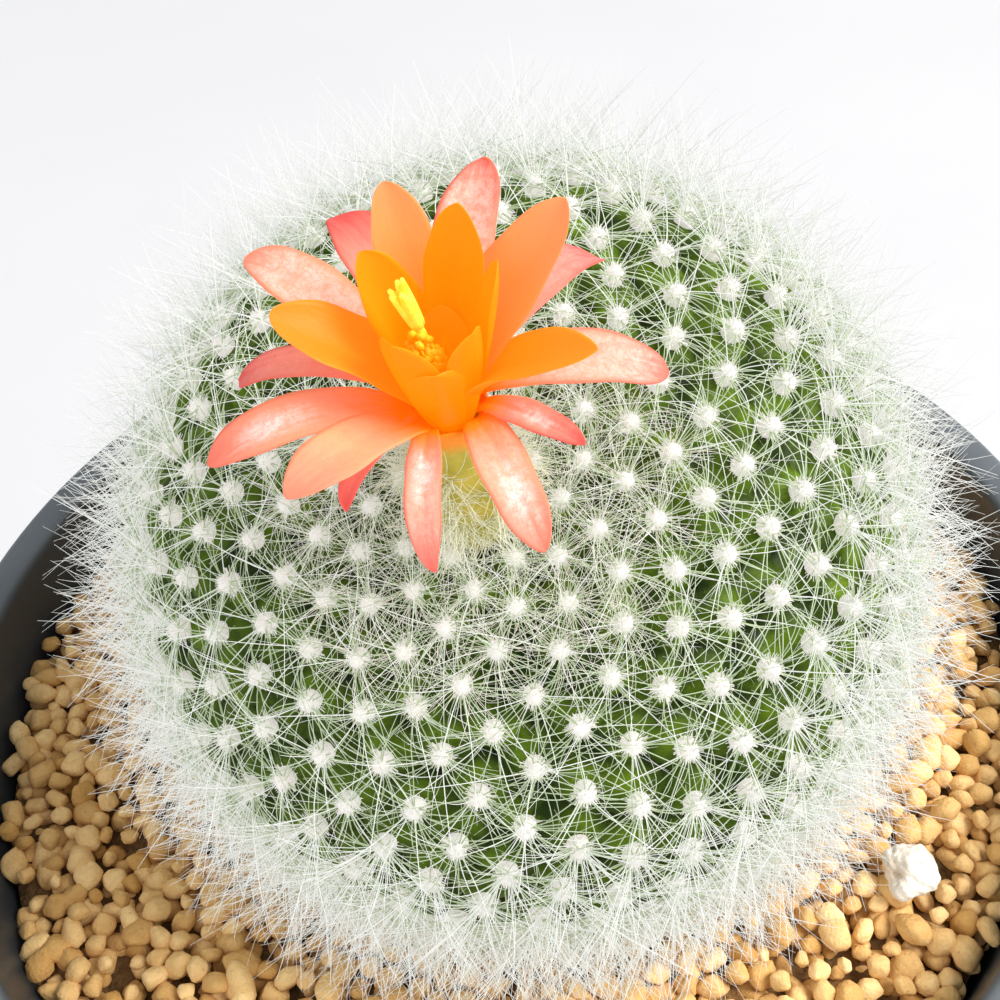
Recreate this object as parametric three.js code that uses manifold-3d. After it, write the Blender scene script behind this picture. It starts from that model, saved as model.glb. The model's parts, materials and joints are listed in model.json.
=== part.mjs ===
// Potted round cactus: a white-spined ball cactus with one open flower, in a small round plastic pot of granules.
// Millimetres, +Z up, origin at the centre of the pot's foot. Every mesh is one closed solid.
// Areoles, spines, granules, tepals and stamens are placed by rule and fused to what they grow from.

import * as THREE from 'three';
import { ConvexHull } from 'three/addons/math/ConvexHull.js';
import { mergeVertices } from 'three/addons/utils/BufferGeometryUtils.js';
import Module from 'manifold-3d';

const wasm = await Module();
wasm.setup();

// ---------------------------------------------------------------- driving dimensions

const GAP = 0.3; // clearance between pieces that touch in life

const pot = {
  height: 65,
  lipRadius: 37.5,
  lipWidth: 2.75,
  lipRound: 0.9,
  collarHeight: 7.5,
  collarStep: 1.5,
  wall: 1.4,
  footRadius: 27.5,
  footInnerRadius: 24.5,
  footLift: 2,
  floorThickness: 1.6,
  drainRadius: 3,
  centreDrainRadius: 4.5,
  drainRing: 15,
  drainCount: 6,
  sides: 40,
};

const soil = {
  level: 60.1, // mean height of the granules
  granuleSpacing: 3.0,
  granuleTop: 0.75, // size of a granule's flat top
  valley: 0.75, // depth between granules
  rise: [0.25, 1.15], // how far granules stand above the mean
  reliefBase: 50,
  sides: 40,
  holeSides: 24,
};

const crumb = { centre: [21.1, -19.0, 61.3], radii: [1.85, 1.6, 1.35] };

const ball = {
  centre: [2.5, 0, 72.4],
  radius: 22.1, // over the areoles
  tipTilt: 35.5, // how far the growing tip leans from the vertical, degrees
  tipAzimuth: -99.5,
  tipSink: 0.06, // the crown is slightly sunken
  tipSinkWidth: 0.25,
  oldCell: 12.5, // skin area per areole low down, mm2
  youngCell: 3.6, // and at the growing tip
  cellWidth: 0.75, // polar angle over which it grows
  tubercle: 0.3, // valley depth as a share of the areole spacing
  tuft: 0.58, // radius of an areole's wool tuft
  tuftRise: 0.3,
};

const spine = {
  length: 4.5,
  lengthSpread: 0.7,
  lean: 43, // from the skin's normal, degrees
  leanSpread: 9,
  clearance: 0.36,
  turns: 12, // turns of the group that are tried, to keep clear of its neighbours
  soilMargin: 1.0,
  flowerMargin: 3.4, // areoles nearer to the flower's seat are bare
  tubeMargin: 2.9,
  singleBelow: 66, // areoles lower than this carry one spine instead of three
  bareBelow: 61.6,
};

const root = { top: 53, neckRadius: 8.5, bottom: 24, tipRadius: 1.2, sides: 14 };

const flower = {
  seatTilt: 36.8, // direction of the seat from the ball's centre
  seatAzimuth: -99,
  axis: [-0.022, -0.259, 0.9655],
  seatDepth: 1.6,
  tubeProfile: [[1.7, -1.6], [2.15, 0.6], [2.15, 2.4], [1.8, 4.5], [1.95, 6.7]],
  cupProfile: [[1.3, 6.7], [1.3, 4.7], [1.15, 3.4]],
  tubeSides: 16,
  bladeThickness: 0.62,
};

// Whorls: the ring that the tepals stand on, and how each tepal leaves it.
const outerWhorl = { inner: 1.3, outer: 1.95, base: 7.0, height: 0.6, start: 1.6, lean: 35, cup: 0.1 };
const innerWhorl = { inner: 0.98, outer: 1.5, base: 7.9, height: 0.6, start: 1.25, lean: 15, cup: 0.2 };

// Each tepal: [azimuth, final opening from the axis, length, width]. Azimuth 0 is right, 90 is the back.
const outerTepals = [
  [-4, 127, 8.0, 2.1], [37, 121, 7.8, 2.3], [73, 90, 8.8, 2.6], [115, 106, 8.3, 2.5],
  [137, 106, 9.1, 2.8], [162, 143, 8.4, 1.9], [190, 128, 8.8, 2.5], [219, 95, 7.0, 2.5],
  [237, 83, 6.6, 1.2], [263, 99, 7.9, 1.4], [287, 103, 8.1, 2.3], [312, 76, 6.6, 1.4],
];
const innerTepals = [
  [329, 64, 8.1, 2.1], [6, 10, 7.0, 1.5], [20, 46, 8.9, 2.6], [64, 22, 7.4, 2.3], [100, 50, 7.8, 2.8],
  [131, 19, 6.6, 3.3], [172, 55, 7.3, 2.6], [222, 0, 5.0, 2.9], [318, 3, 5.4, 2.4], [78, 8, 4.4, 2.1],
  [270, 8, 4.0, 2.4],
];

// Stamens stand on a disc in the cup; the style leans a little to the left above them.
const stamens = {
  count: 10, ring: 0.64, disc: [0.46, 0.85], discHeight: 0.6, floor: 3.7, low: 9.2, high: 10.8, spread: 0.76, anther: 0.26,
};
const pistil = {
  radius: 0.22, floor: 3.7, bend: 11.3, lean: [-0.4, 0.15], lobesFrom: 13, top: 14.8, topLean: [-0.9, 0.35], lobes: 5,
  spread: 0.4, lobe: 0.22,
};

const finish = {
  potPlastic: { color: 0x3c444d, roughness: 0.42, metalness: 0 },
  granule: { color: 0xc9965c, roughness: 0.95, metalness: 0 },
  crumb: { color: 0xf2ead8, roughness: 0.9, metalness: 0 },
  skin: { color: 0xcfdcc6, roughness: 0.75, metalness: 0 },
  tube: { color: 0xb9c45a, roughness: 0.6, metalness: 0 },
  outerTepal: { color: 0xf58a72, roughness: 0.45, metalness: 0 },
  innerTepal: { color: 0xff8f1c, roughness: 0.5, metalness: 0 },
  stamen: { color: 0xffb700, roughness: 0.6, metalness: 0 },
  stigma: { color: 0xffe21a, roughness: 0.6, metalness: 0 },
};

// ---------------------------------------------------------------- small helpers

const GOLDEN = Math.PI * (3 - Math.sqrt(5));
const rad = THREE.MathUtils.degToRad;
const vec = (x, y, z) => new THREE.Vector3(x, y, z);
const UP = vec(0, 0, 1);

function seeded(seed) {
  let state = seed;
  return () => {
    state = (state + 0x6d2b79f5) | 0;
    let mixed = Math.imul(state ^ (state >>> 15), 1 | state);
    mixed = (mixed + Math.imul(mixed ^ (mixed >>> 7), 61 | mixed)) ^ mixed;
    return ((mixed ^ (mixed >>> 14)) >>> 0) / 4294967296;
  };
}

function direction(tilt, azimuth) {
  const flat = Math.sin(rad(tilt));
  return vec(flat * Math.cos(rad(azimuth)), flat * Math.sin(rad(azimuth)), Math.cos(rad(tilt)));
}

// Two unit vectors across an axis, the first as near to +X as it can be.
function across(axis) {
  const first = vec(1, 0, 0).addScaledVector(axis, -axis.x).normalize();
  return [first, axis.clone().cross(first)];
}

// A growing shell of corners and triangles, counter-clockwise from outside.
class Shell {
  constructor() {
    this.corners = [];
    this.triangles = [];
  }

  corner(point) {
    this.corners.push(point.x, point.y, point.z);
    return this.corners.length / 3 - 1;
  }

  face(...ring) {
    for (let i = 1; i + 1 < ring.length; i += 1) this.triangles.push(ring[0], ring[i], ring[i + 1]);
  }

  // The band between an inner and an outer ring, both [{ id, angle }] counter-clockwise about the same centre.
  band(inner, outer) {
    const turn = 2 * Math.PI;
    const ahead = (ring, i) => ring[i % ring.length].angle + turn * Math.floor(i / ring.length);
    const id = (ring, i) => ring[i % ring.length].id;
    let first = 0;
    while (first < outer.length && outer[first].angle < inner[0].angle) first += 1;
    const shifted = (j) => ahead(outer, first + j);
    for (let i = 0, j = 0; i < inner.length || j < outer.length;) {
      const innerNext = ahead(inner, i + 1);
      if (j === outer.length || (i < inner.length && innerNext <= shifted(j + 1))) {
        this.triangles.push(id(inner, i), id(outer, first + j), id(inner, i + 1));
        i += 1;
      } else {
        this.triangles.push(id(inner, i), id(outer, first + j), id(outer, first + j + 1));
        j += 1;
      }
    }
  }

  solid() {
    return closedSolid(this.corners, this.triangles);
  }
}

function volumeOf(corners, triangles) {
  let six = 0;
  const at = (i) => vec(corners[3 * i], corners[3 * i + 1], corners[3 * i + 2]);
  for (let i = 0; i < triangles.length; i += 3) {
    six += at(triangles[i]).dot(at(triangles[i + 1]).cross(at(triangles[i + 2])));
  }
  return six / 6;
}

// A closed set of triangles as a solid, turned right way out if it is inside out.
function closedSolid(corners, triangles) {
  const facing = [...triangles];
  if (volumeOf(corners, facing) < 0) {
    for (let i = 0; i < facing.length; i += 3) [facing[i + 1], facing[i + 2]] = [facing[i + 2], facing[i + 1]];
  }
  const mesh = new wasm.Mesh({
    numProp: 3,
    vertProperties: new Float32Array(corners),
    triVerts: new Uint32Array(facing),
  });
  return new wasm.Manifold(mesh);
}

// A closed three.js geometry as a solid: seams merged, and triangles that shrank to a line dropped.
function solidOf(geometry) {
  const bare = geometry.clone();
  bare.deleteAttribute('normal');
  bare.deleteAttribute('uv');
  const merged = mergeVertices(bare, 1e-4);
  const index = merged.index.array;
  const kept = [];
  for (let i = 0; i < index.length; i += 3) {
    const [a, b, c] = [index[i], index[i + 1], index[i + 2]];
    if (a !== b && b !== c && c !== a) kept.push(a, b, c);
  }
  return closedSolid([...merged.getAttribute('position').array], kept);
}

function geometryOf(body) {
  const { vertProperties, triVerts } = body.getMesh();
  const geometry = new THREE.BufferGeometry();
  geometry.setAttribute('position', new THREE.BufferAttribute(new Float32Array(vertProperties), 3));
  geometry.setIndex(new THREE.BufferAttribute(new Uint32Array(triVerts), 1));
  return geometry;
}

// A profile of [radius, height] turned round +Z; it starts and ends on the axis, or closes on itself.
function turned(profile, sides) {
  const points = profile.map(([r, h]) => new THREE.Vector2(r, h));
  return solidOf(new THREE.LatheGeometry(points, sides).rotateX(Math.PI / 2));
}

function piece(name, body, look) {
  const mesh = new THREE.Mesh(geometryOf(body).toNonIndexed(), new THREE.MeshStandardMaterial(look));
  mesh.geometry.computeVertexNormals();
  mesh.name = name;
  return mesh;
}

// Delaunay cells of sites on a convex surface: every hull triangle, and for each site the triangles round it.
function cellsOf(sites, outward) {
  const number = new Map(sites.map((site, i) => [site, i]));
  const triangles = [];
  const around = sites.map(() => []);
  for (const face of new ConvexHull().setFromPoints(sites).faces) {
    const ids = [];
    for (let edge = face.edge; ids.length < 3; edge = edge.next) ids.push(number.get(edge.head().point));
    for (const i of ids) around[i].push(triangles.length);
    triangles.push(ids);
  }
  const middles = triangles.map((ids) => {
    const middle = vec(0, 0, 0);
    for (const i of ids) middle.addScaledVector(sites[i], 1 / 3);
    return middle;
  });
  const rings = sites.map((site, i) => {
    const [east, north] = across(outward(site));
    const angleOf = (t) => {
      const arm = middles[t].clone().sub(site);
      return Math.atan2(arm.dot(north), arm.dot(east));
    };
    return around[i].map((t) => ({ triangle: t, angle: angleOf(t) })).sort((a, b) => a.angle - b.angle);
  });
  return { triangles, middles, rings };
}

// ---------------------------------------------------------------- pot

// Inner radius of the pot's wall at a height.
function potInside(height) {
  const floor = pot.footLift + pot.floorThickness;
  const mouth = pot.lipRadius - pot.lipWidth;
  const low = pot.footRadius - pot.wall;
  return low + ((mouth - low) * (height - floor)) / (pot.height - floor);
}

function makePot() {
  const floor = pot.footLift + pot.floorThickness;
  const collar = pot.height - pot.collarHeight;
  const mouth = pot.lipRadius - pot.lipWidth;
  const { height, lipRadius, lipRound } = pot;
  const shell = turned([
    [0, pot.footLift],
    [pot.footInnerRadius, pot.footLift],
    [pot.footInnerRadius + 0.4, 0],
    [pot.footRadius, 0],
    [potInside(collar) + pot.wall, collar],
    [lipRadius - pot.collarStep * 0.35, collar + 0.6],
    [lipRadius - 0.25, height - 2.2],
    [lipRadius, height - 1.6],
    [lipRadius - 0.12, height - 0.5],
    [lipRadius - lipRound, height],
    [mouth + lipRound, height - 0.05],
    [mouth + 0.1, height - 0.6],
    [potInside(floor + 2), floor + 2],
    [potInside(floor) - 1.5, floor],
    [0, floor],
  ], pot.sides);
  const drill = (radius, x, y) => {
    const bit = new THREE.CylinderGeometry(radius, radius, 8, 12).rotateX(Math.PI / 2);
    return solidOf(bit.translate(x, y, floor));
  };
  let drained = shell.subtract(drill(pot.centreDrainRadius, 0, 0));
  for (let i = 0; i < pot.drainCount; i += 1) {
    const turn = (2 * Math.PI * i) / pot.drainCount;
    drained = drained.subtract(drill(pot.drainRadius, pot.drainRing * Math.cos(turn), pot.drainRing * Math.sin(turn)));
  }
  return piece('pot', drained, finish.potPlastic);
}

// ---------------------------------------------------------------- cactus

const tipAxis = direction(ball.tipTilt, ball.tipAzimuth);
const ballCentre = vec(...ball.centre);
const flowerAxis = vec(...flower.axis).normalize();
const seatDirection = direction(flower.seatTilt, flower.seatAzimuth);
const seatPoint = ballCentre.clone().addScaledVector(seatDirection, ball.radius - GAP);

// Skin area of one areole's cell at a polar angle from the growing tip.
const cellArea = (polar) => ball.oldCell - (ball.oldCell - ball.youngCell) * Math.exp(-((polar / ball.cellWidth) ** 2));
const sunken = (polar) => 1 - ball.tipSink * Math.exp(-((polar / ball.tipSinkWidth) ** 2));

// Areole directions: a golden-angle spiral whose cap grows by one cell at each step.
function areoleSites() {
  const [east, north] = across(tipAxis);
  const sites = [];
  const sphere = 2 * Math.PI * ball.radius ** 2;
  for (let capCos = 1, n = 0; ; n += 1) {
    const here = cellArea(Math.acos(Math.max(capCos, -1)));
    capCos -= here / sphere;
    if (capCos < -1) break;
    const middleCos = Math.min(1, capCos + (0.5 * here) / sphere);
    const flat = Math.sqrt(1 - middleCos ** 2);
    const site = tipAxis.clone().multiplyScalar(middleCos);
    site.addScaledVector(east, flat * Math.cos(n * GOLDEN)).addScaledVector(north, flat * Math.sin(n * GOLDEN));
    sites.push(site.normalize());
  }
  return sites;
}

// Least distance between two line segments.
function segmentDistance(a, b, c, d) {
  const u = b.clone().sub(a);
  const v = d.clone().sub(c);
  const w = a.clone().sub(c);
  const [uu, uv, vv, uw, vw] = [u.dot(u), u.dot(v), v.dot(v), u.dot(w), v.dot(w)];
  const det = uu * vv - uv * uv;
  const clamp = (x) => Math.min(1, Math.max(0, x));
  let s = det > 1e-9 ? clamp((uv * vw - vv * uw) / det) : 0;
  const t = clamp((uv * s + vw) / vv);
  s = clamp((uv * t - uw) / uu);
  return w.addScaledVector(u, s).addScaledVector(v, -t).length();
}

// Picks the spines of every areole in turn, from the crown down, each clear of those already there.
function placeSpines(sites) {
  const draw = seeded(11);
  const placed = [];
  const tube = [seatPoint, seatPoint.clone().addScaledVector(flowerAxis, 9)];
  const soilLimit = soil.level + soil.rise[1] + spine.soilMargin;
  const clearOf = (foot, tip) => {
    if (tip.z < soilLimit) return 0;
    let least = segmentDistance(foot, tip, ...tube) - spine.tubeMargin;
    for (const other of placed) {
      if (other.foot.distanceToSquared(foot) > 110) continue;
      least = Math.min(least, segmentDistance(foot, tip, other.foot, other.tip));
    }
    return least;
  };
  return sites.map((site) => {
    const polar = Math.acos(THREE.MathUtils.clamp(site.dot(tipAxis), -1, 1));
    const peak = ballCentre.clone().addScaledVector(site, ball.radius * sunken(polar));
    const nearFlower = peak.distanceTo(seatPoint) < spine.flowerMargin;
    const lengthDraw = draw();
    const leanDraw = draw();
    if (peak.z < spine.bareBelow || nearFlower) return { turn: 0, tips: [null, null, null] };
    const [east, north] = across(site);
    const foot = peak.clone().addScaledVector(site, ball.tuftRise);
    const single = peak.z < spine.singleBelow;
    const young = 0.78 + 0.22 * Math.min(1, polar / 0.6);
    const length = young * (spine.length + spine.lengthSpread * (2 * lengthDraw - 1));
    const lean = rad(spine.lean + spine.leanSpread * (2 * leanDraw - 1));
    let best = null;
    for (let step = 0; step < spine.turns; step += 1) {
      const turn = (2 * Math.PI * step) / spine.turns / (single ? 1 : 3);
      const group = [0, 1, 2].map((k) => {
        const heading = turn + (2 * Math.PI * k) / 3;
        const tip = foot.clone().addScaledVector(site, length * Math.cos(lean));
        tip.addScaledVector(east, length * Math.sin(lean) * Math.cos(heading));
        tip.addScaledVector(north, length * Math.sin(lean) * Math.sin(heading));
        const start = foot.clone().lerp(tip, 0.15);
        return { start, tip, clear: clearOf(start, tip) };
      });
      const used = single ? group.slice(0, 1) : group;
      const good = used.filter((one) => one.clear > spine.clearance).length;
      const least = Math.min(...used.map((one) => one.clear));
      const score = good + Math.min(least, 2);
      if (best === null || score > best.score) best = { score, turn, used };
    }
    const tips = [0, 1, 2].map((k) => {
      const one = best.used[k];
      if (!one || one.clear <= spine.clearance) return null;
      placed.push({ foot: one.start, tip: one.tip });
      return one.tip;
    });
    return { turn: best.turn, tips };
  });
}

// The ball's skin: valleys at the corners of every areole's cell, a raised tuft in the middle, and its spines.
function makeBall() {
  const sites = areoleSites();
  const { middles, rings } = cellsOf(sites, (site) => site);
  const spines = placeSpines(sites);
  const shell = new Shell();
  const at = (toward, radius) => ballCentre.clone().addScaledVector(toward, radius);
  const polarOf = (toward) => Math.acos(THREE.MathUtils.clamp(toward.dot(tipAxis), -1, 1));
  const valleyIds = middles.map((middle) => {
    const toward = middle.clone().normalize();
    const polar = polarOf(toward);
    const depth = ball.tubercle * Math.sqrt(cellArea(polar));
    return shell.corner(at(toward, ball.radius * sunken(polar) - depth));
  });
  sites.forEach((site, i) => {
    const outer = rings[i].map(({ triangle, angle }) => ({ id: valleyIds[triangle], angle }));
    const radius = ball.radius * sunken(polarOf(site));
    if (at(site, radius).z < soil.level - 2) {
      shell.face(...outer.map(({ id }) => id));
      return;
    }
    const [east, north] = across(site);
    const { turn, tips } = spines[i];
    const tuft = Math.min(ball.tuft, 0.2 * Math.sqrt(cellArea(polarOf(site))));
    const inner = [];
    for (let k = 0; k < 3; k += 1) {
      let angle = turn + (2 * Math.PI * (k - 0.5)) / 3;
      angle -= 2 * Math.PI * Math.round(angle / (2 * Math.PI));
      const corner = at(site, radius).addScaledVector(east, tuft * Math.cos(angle));
      inner.push({ id: shell.corner(corner.addScaledVector(north, tuft * Math.sin(angle))), angle, k });
    }
    const ids = inner.map(({ id }) => id);
    inner.sort((a, b) => a.angle - b.angle);
    shell.band(inner, outer);
    if (tips.every((tip) => tip === null)) {
      shell.face(...ids);
      return;
    }
    const top = shell.corner(at(site, radius + ball.tuftRise));
    tips.forEach((tip, k) => {
      const [a, b] = [ids[k], ids[(k + 1) % 3]];
      if (tip === null) {
        shell.face(a, b, top);
        return;
      }
      const point = shell.corner(tip);
      shell.face(a, b, point);
      shell.face(b, top, point);
      shell.face(top, a, point);
    });
  });
  return shell.solid();
}

function makeRoot() {
  return turned([
    [0, root.bottom],
    [root.tipRadius, root.bottom],
    [root.neckRadius, root.top - 6],
    [root.neckRadius, root.top + 4],
    [0, root.top + 4],
  ], root.sides).translate([ball.centre[0], ball.centre[1], 0]);
}

function makeCactus() {
  const socket = turned([
    [0, -flower.seatDepth - GAP],
    [flower.tubeProfile[0][0] + GAP, -flower.seatDepth - GAP],
    [flower.tubeProfile[1][0] + GAP + 0.1, flower.tubeProfile[1][1]],
    [flower.tubeProfile[2][0] + GAP + 0.1, flower.tubeProfile[2][1]],
    [0, flower.tubeProfile[2][1]],
  ], flower.tubeSides).transform(flowerFrame.toArray());
  return piece('cactus', makeBall().add(makeRoot()).subtract(socket), finish.skin);
}

// ---------------------------------------------------------------- soil, granules and the white crumb

// The plain hole that the ball and its root stand in, a gap wider than they are all round.
function makePlantHole() {
  const widen = 1 / Math.cos(Math.PI / soil.holeSides);
  const profile = [
    [0, root.bottom - GAP],
    [(root.tipRadius + GAP) * widen, root.bottom - GAP],
    [(root.neckRadius + GAP) * widen, root.top - 6 - GAP],
  ];
  const radius = ball.radius + GAP + 0.1;
  const under = ball.centre[2] - Math.sqrt(radius ** 2 - (root.neckRadius + GAP) ** 2);
  const top = soil.level + soil.rise[1] + 1.5;
  const steps = 4;
  for (let i = 0; i <= steps; i += 1) {
    const drop = ball.centre[2] - (under + ((top - under) * i) / steps);
    profile.push([Math.sqrt(radius ** 2 - drop ** 2) * widen, ball.centre[2] - drop]);
  }
  profile.push([0, top]);
  return turned(profile, soil.holeSides).translate([ball.centre[0], ball.centre[1], 0]);
}

// Granule places: seeded darts no nearer to each other than the spacing.
function granuleSites() {
  const draw = seeded(5);
  const reach = pot.lipRadius + 4;
  const sites = [];
  for (let misses = 0; misses < 4000;) {
    const radius = reach * Math.sqrt(draw());
    const turn = 2 * Math.PI * draw();
    const dart = vec(radius * Math.cos(turn), radius * Math.sin(turn), 0);
    if (sites.some((site) => site.distanceTo(dart) < soil.granuleSpacing)) {
      misses += 1;
    } else {
      misses = 0;
      sites.push(dart);
    }
  }
  return sites;
}

// A slab whose top is the granules: a tilted flat-topped grain in each cell, with a valley round it.
function makeGranules() {
  const draw = seeded(23);
  const flat = granuleSites();
  const lift = 400;
  const lifted = flat.map(({ x, y }) => vec(x, y, (x * x + y * y) / lift));
  const { triangles, middles, rings } = cellsOf(lifted, () => UP);
  const reach = pot.lipRadius + 0.5;
  const lower = triangles.map(([a, b, c]) => {
    const [p, q, r] = [lifted[a], lifted[b], lifted[c]];
    return q.clone().sub(p).cross(r.clone().sub(p)).z < 0;
  });
  const shell = new Shell();
  const twins = new Map();
  const corner = (x, y, z) => {
    const id = shell.corner(vec(x, y, z));
    twins.set(id, [x, y]);
    return id;
  };
  const valleys = new Map();
  const valleyId = (t) => {
    const height = soil.level - soil.valley * (0.7 + 0.6 * draw());
    if (!valleys.has(t)) valleys.set(t, corner(middles[t].x, middles[t].y, height));
    return valleys.get(t);
  };
  flat.forEach((site, i) => {
    const size = soil.granuleTop * (0.8 + 0.5 * draw());
    const rise = soil.rise[0] + (soil.rise[1] - soil.rise[0]) * draw();
    const turn = 2 * Math.PI * draw();
    const tilt = 0.4 * (draw() - 0.5);
    if (site.length() > reach || !rings[i].every(({ triangle }) => lower[triangle])) return;
    const outer = rings[i].map(({ triangle, angle }) => ({ id: valleyId(triangle), angle }));
    const inner = [];
    for (let k = 0; k < 3; k += 1) {
      let angle = turn + (2 * Math.PI * k) / 3;
      angle -= 2 * Math.PI * Math.round(angle / (2 * Math.PI));
      const height = soil.level + rise + tilt * Math.cos(angle);
      inner.push({ id: corner(site.x + size * Math.cos(angle), site.y + size * Math.sin(angle), height), angle });
    }
    inner.sort((a, b) => a.angle - b.angle);
    shell.face(...inner.map(({ id }) => id));
    shell.band(inner, outer);
  });
  return closeBelow(shell, twins, soil.reliefBase);
}

// Closes an open sheet with its own flat shadow at a height, and a wall round the edge.
function closeBelow(shell, places, height) {
  const shadow = new Map();
  for (const [id, [x, y]] of places) shadow.set(id, shell.corner(vec(x, y, height)));
  const sheet = [...shell.triangles];
  const loose = new Map();
  for (let i = 0; i < sheet.length; i += 3) {
    const ids = sheet.slice(i, i + 3);
    shell.face(shadow.get(ids[0]), shadow.get(ids[2]), shadow.get(ids[1]));
    ids.forEach((id, k) => {
      const next = ids[(k + 1) % 3];
      if (!loose.delete(`${next},${id}`)) loose.set(`${id},${next}`, [id, next]);
    });
  }
  for (const [a, b] of loose.values()) shell.face(a, shadow.get(a), shadow.get(b), b);
  return shell.solid();
}

function crumbSolid(extra) {
  const geometry = new THREE.IcosahedronGeometry(1, 1);
  const places = geometry.getAttribute('position');
  for (let i = 0; i < places.count; i += 1) {
    const [x, y, z] = [places.getX(i), places.getY(i), places.getZ(i)];
    const lump = 1 + 0.12 * Math.sin(3.1 * x + 1) * Math.cos(2.7 * y) + 0.08 * Math.sin(4.3 * z + x);
    const [rx, ry, rz] = crumb.radii.map((radius) => radius + extra);
    places.setXYZ(i, x * lump * rx, y * lump * ry, z * lump * rz);
  }
  return solidOf(geometry.translate(...crumb.centre));
}

function makeSoil() {
  const bottom = pot.footLift + pot.floorThickness + GAP;
  const inset = (height) => potInside(height) - GAP - 0.1;
  const top = soil.level + soil.rise[1] + 1.2;
  const body = turned([
    [0, bottom],
    [inset(bottom) - 1.9, bottom],
    [inset(bottom + 2), bottom + 2],
    [inset(top), top],
    [0, top],
  ], soil.sides);
  const column = turned([[0, bottom], [60, bottom], [60, soil.reliefBase + 1], [0, soil.reliefBase + 1]], 12);
  const filled = body.intersect(makeGranules().add(column));
  return piece('soil', filled.subtract(makePlantHole()).subtract(crumbSolid(GAP + 0.05)), finish.granule);
}

// ---------------------------------------------------------------- flower, in its own frame with +Z along its axis

const [flowerEast, flowerNorth] = across(flowerAxis);
const flowerFrame = new THREE.Matrix4().makeBasis(flowerEast, flowerNorth, flowerAxis).setPosition(seatPoint);

function makeTube() {
  const { tubeProfile, cupProfile } = flower;
  const floorHeight = cupProfile[cupProfile.length - 1][1];
  return turned([[0, tubeProfile[0][1]], ...tubeProfile, ...cupProfile, [0, floorHeight]], flower.tubeSides);
}

// Half width of a tepal at a share u of its length: a claw, widest at the middle, and a blunt point.
function tepalWidth(u) {
  const widest = 0.5;
  if (u < widest) return 0.45 + 0.55 * Math.sin((Math.PI * u) / widest / 2) ** 1.3;
  return Math.max(0, 1 - ((u - widest) / (1 - widest)) ** 2.8) ** 0.8;
}

// One tepal: a thin channelled blade that opens steadily from the whorl's lean to its own final opening.
function tepal([azimuth, opening, length, width], whorl) {
  const outward = vec(Math.cos(rad(azimuth)), Math.sin(rad(azimuth)), 0);
  const side = UP.clone().cross(outward);
  const point = outward.clone().multiplyScalar(whorl.start).setZ(whorl.base + whorl.height / 2);
  const stations = [0, 0.2, 0.45, 0.7, 0.9, 1];
  const thick = flower.bladeThickness / 2;
  const shell = new Shell();
  const sections = [];
  stations.forEach((u, i) => {
    if (i > 0) {
      const step = u - stations[i - 1];
      const middle = rad(whorl.lean + (opening - whorl.lean) * (u - step / 2));
      point.addScaledVector(UP, length * step * Math.cos(middle));
      point.addScaledVector(outward, length * step * Math.sin(middle));
    }
    const open = rad(whorl.lean + (opening - whorl.lean) * u);
    const face = UP.clone().multiplyScalar(Math.sin(open)).addScaledVector(outward, -Math.cos(open));
    const half = (Math.max(tepalWidth(u), 0.16) * width) / 2;
    const rim = whorl.cup * 2 * half;
    const spot = (across, high) => {
      const lift = (across === 0 ? 0 : rim) + high * thick;
      return shell.corner(point.clone().addScaledVector(side, across * half).addScaledVector(face, lift));
    };
    sections.push([spot(-1, 1), spot(0, 1), spot(1, 1), spot(1, -1), spot(0, -1), spot(-1, -1)]);
  });
  shell.face(...sections[0]);
  shell.face(...[...sections[sections.length - 1]].reverse());
  for (let i = 1; i < sections.length; i += 1) {
    const [back, front] = [sections[i - 1], sections[i]];
    for (let k = 0; k < 6; k += 1) {
      const n = (k + 1) % 6;
      if (k < 3) {
        shell.face(back[k], front[k], front[n]);
        shell.face(back[k], front[n], back[n]);
      } else {
        shell.face(back[n], back[k], front[k]);
        shell.face(back[n], front[k], front[n]);
      }
    }
  }
  return shell.solid();
}

function makeWhorl(whorl, tepals) {
  const ring = turned([
    [whorl.inner, whorl.base],
    [whorl.outer, whorl.base],
    [whorl.outer, whorl.base + whorl.height],
    [whorl.inner, whorl.base + whorl.height],
    [whorl.inner, whorl.base],
  ], flower.tubeSides);
  return wasm.Manifold.union([ring, ...tepals.map((shape) => tepal(shape, whorl))]);
}

// A slim tapered rod between two points.
function rod(from, to, startRadius, endRadius, sides) {
  const along = to.clone().sub(from);
  const geometry = new THREE.CylinderGeometry(endRadius, startRadius, along.length(), sides);
  const turn = new THREE.Quaternion().setFromUnitVectors(vec(0, 1, 0), along.clone().normalize());
  const middle = from.clone().lerp(to, 0.5);
  return solidOf(geometry.applyQuaternion(turn).translate(middle.x, middle.y, middle.z));
}

function makeStamens() {
  const draw = seeded(41);
  const base = stamens.floor;
  const [inner, outer] = stamens.disc;
  const top = base + stamens.discHeight;
  const parts = [turned([[inner, base], [outer, base], [outer, top], [inner, top], [inner, base]], 12)];
  for (let i = 0; i < stamens.count; i += 1) {
    const turn = (2 * Math.PI * i) / stamens.count;
    const height = stamens.low + (stamens.high - stamens.low) * draw();
    const foot = vec(stamens.ring * Math.cos(turn), stamens.ring * Math.sin(turn), base + stamens.discHeight / 2);
    const reach = stamens.ring + (stamens.spread - stamens.ring) * draw();
    const head = vec(reach * Math.cos(turn), reach * Math.sin(turn), height);
    const anther = new THREE.OctahedronGeometry(stamens.anther).scale(0.75, 0.75, 1.3);
    parts.push(rod(foot, head, 0.16, 0.13, 3), solidOf(anther.translate(head.x, head.y, head.z)));
  }
  return wasm.Manifold.union(parts);
}

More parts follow.
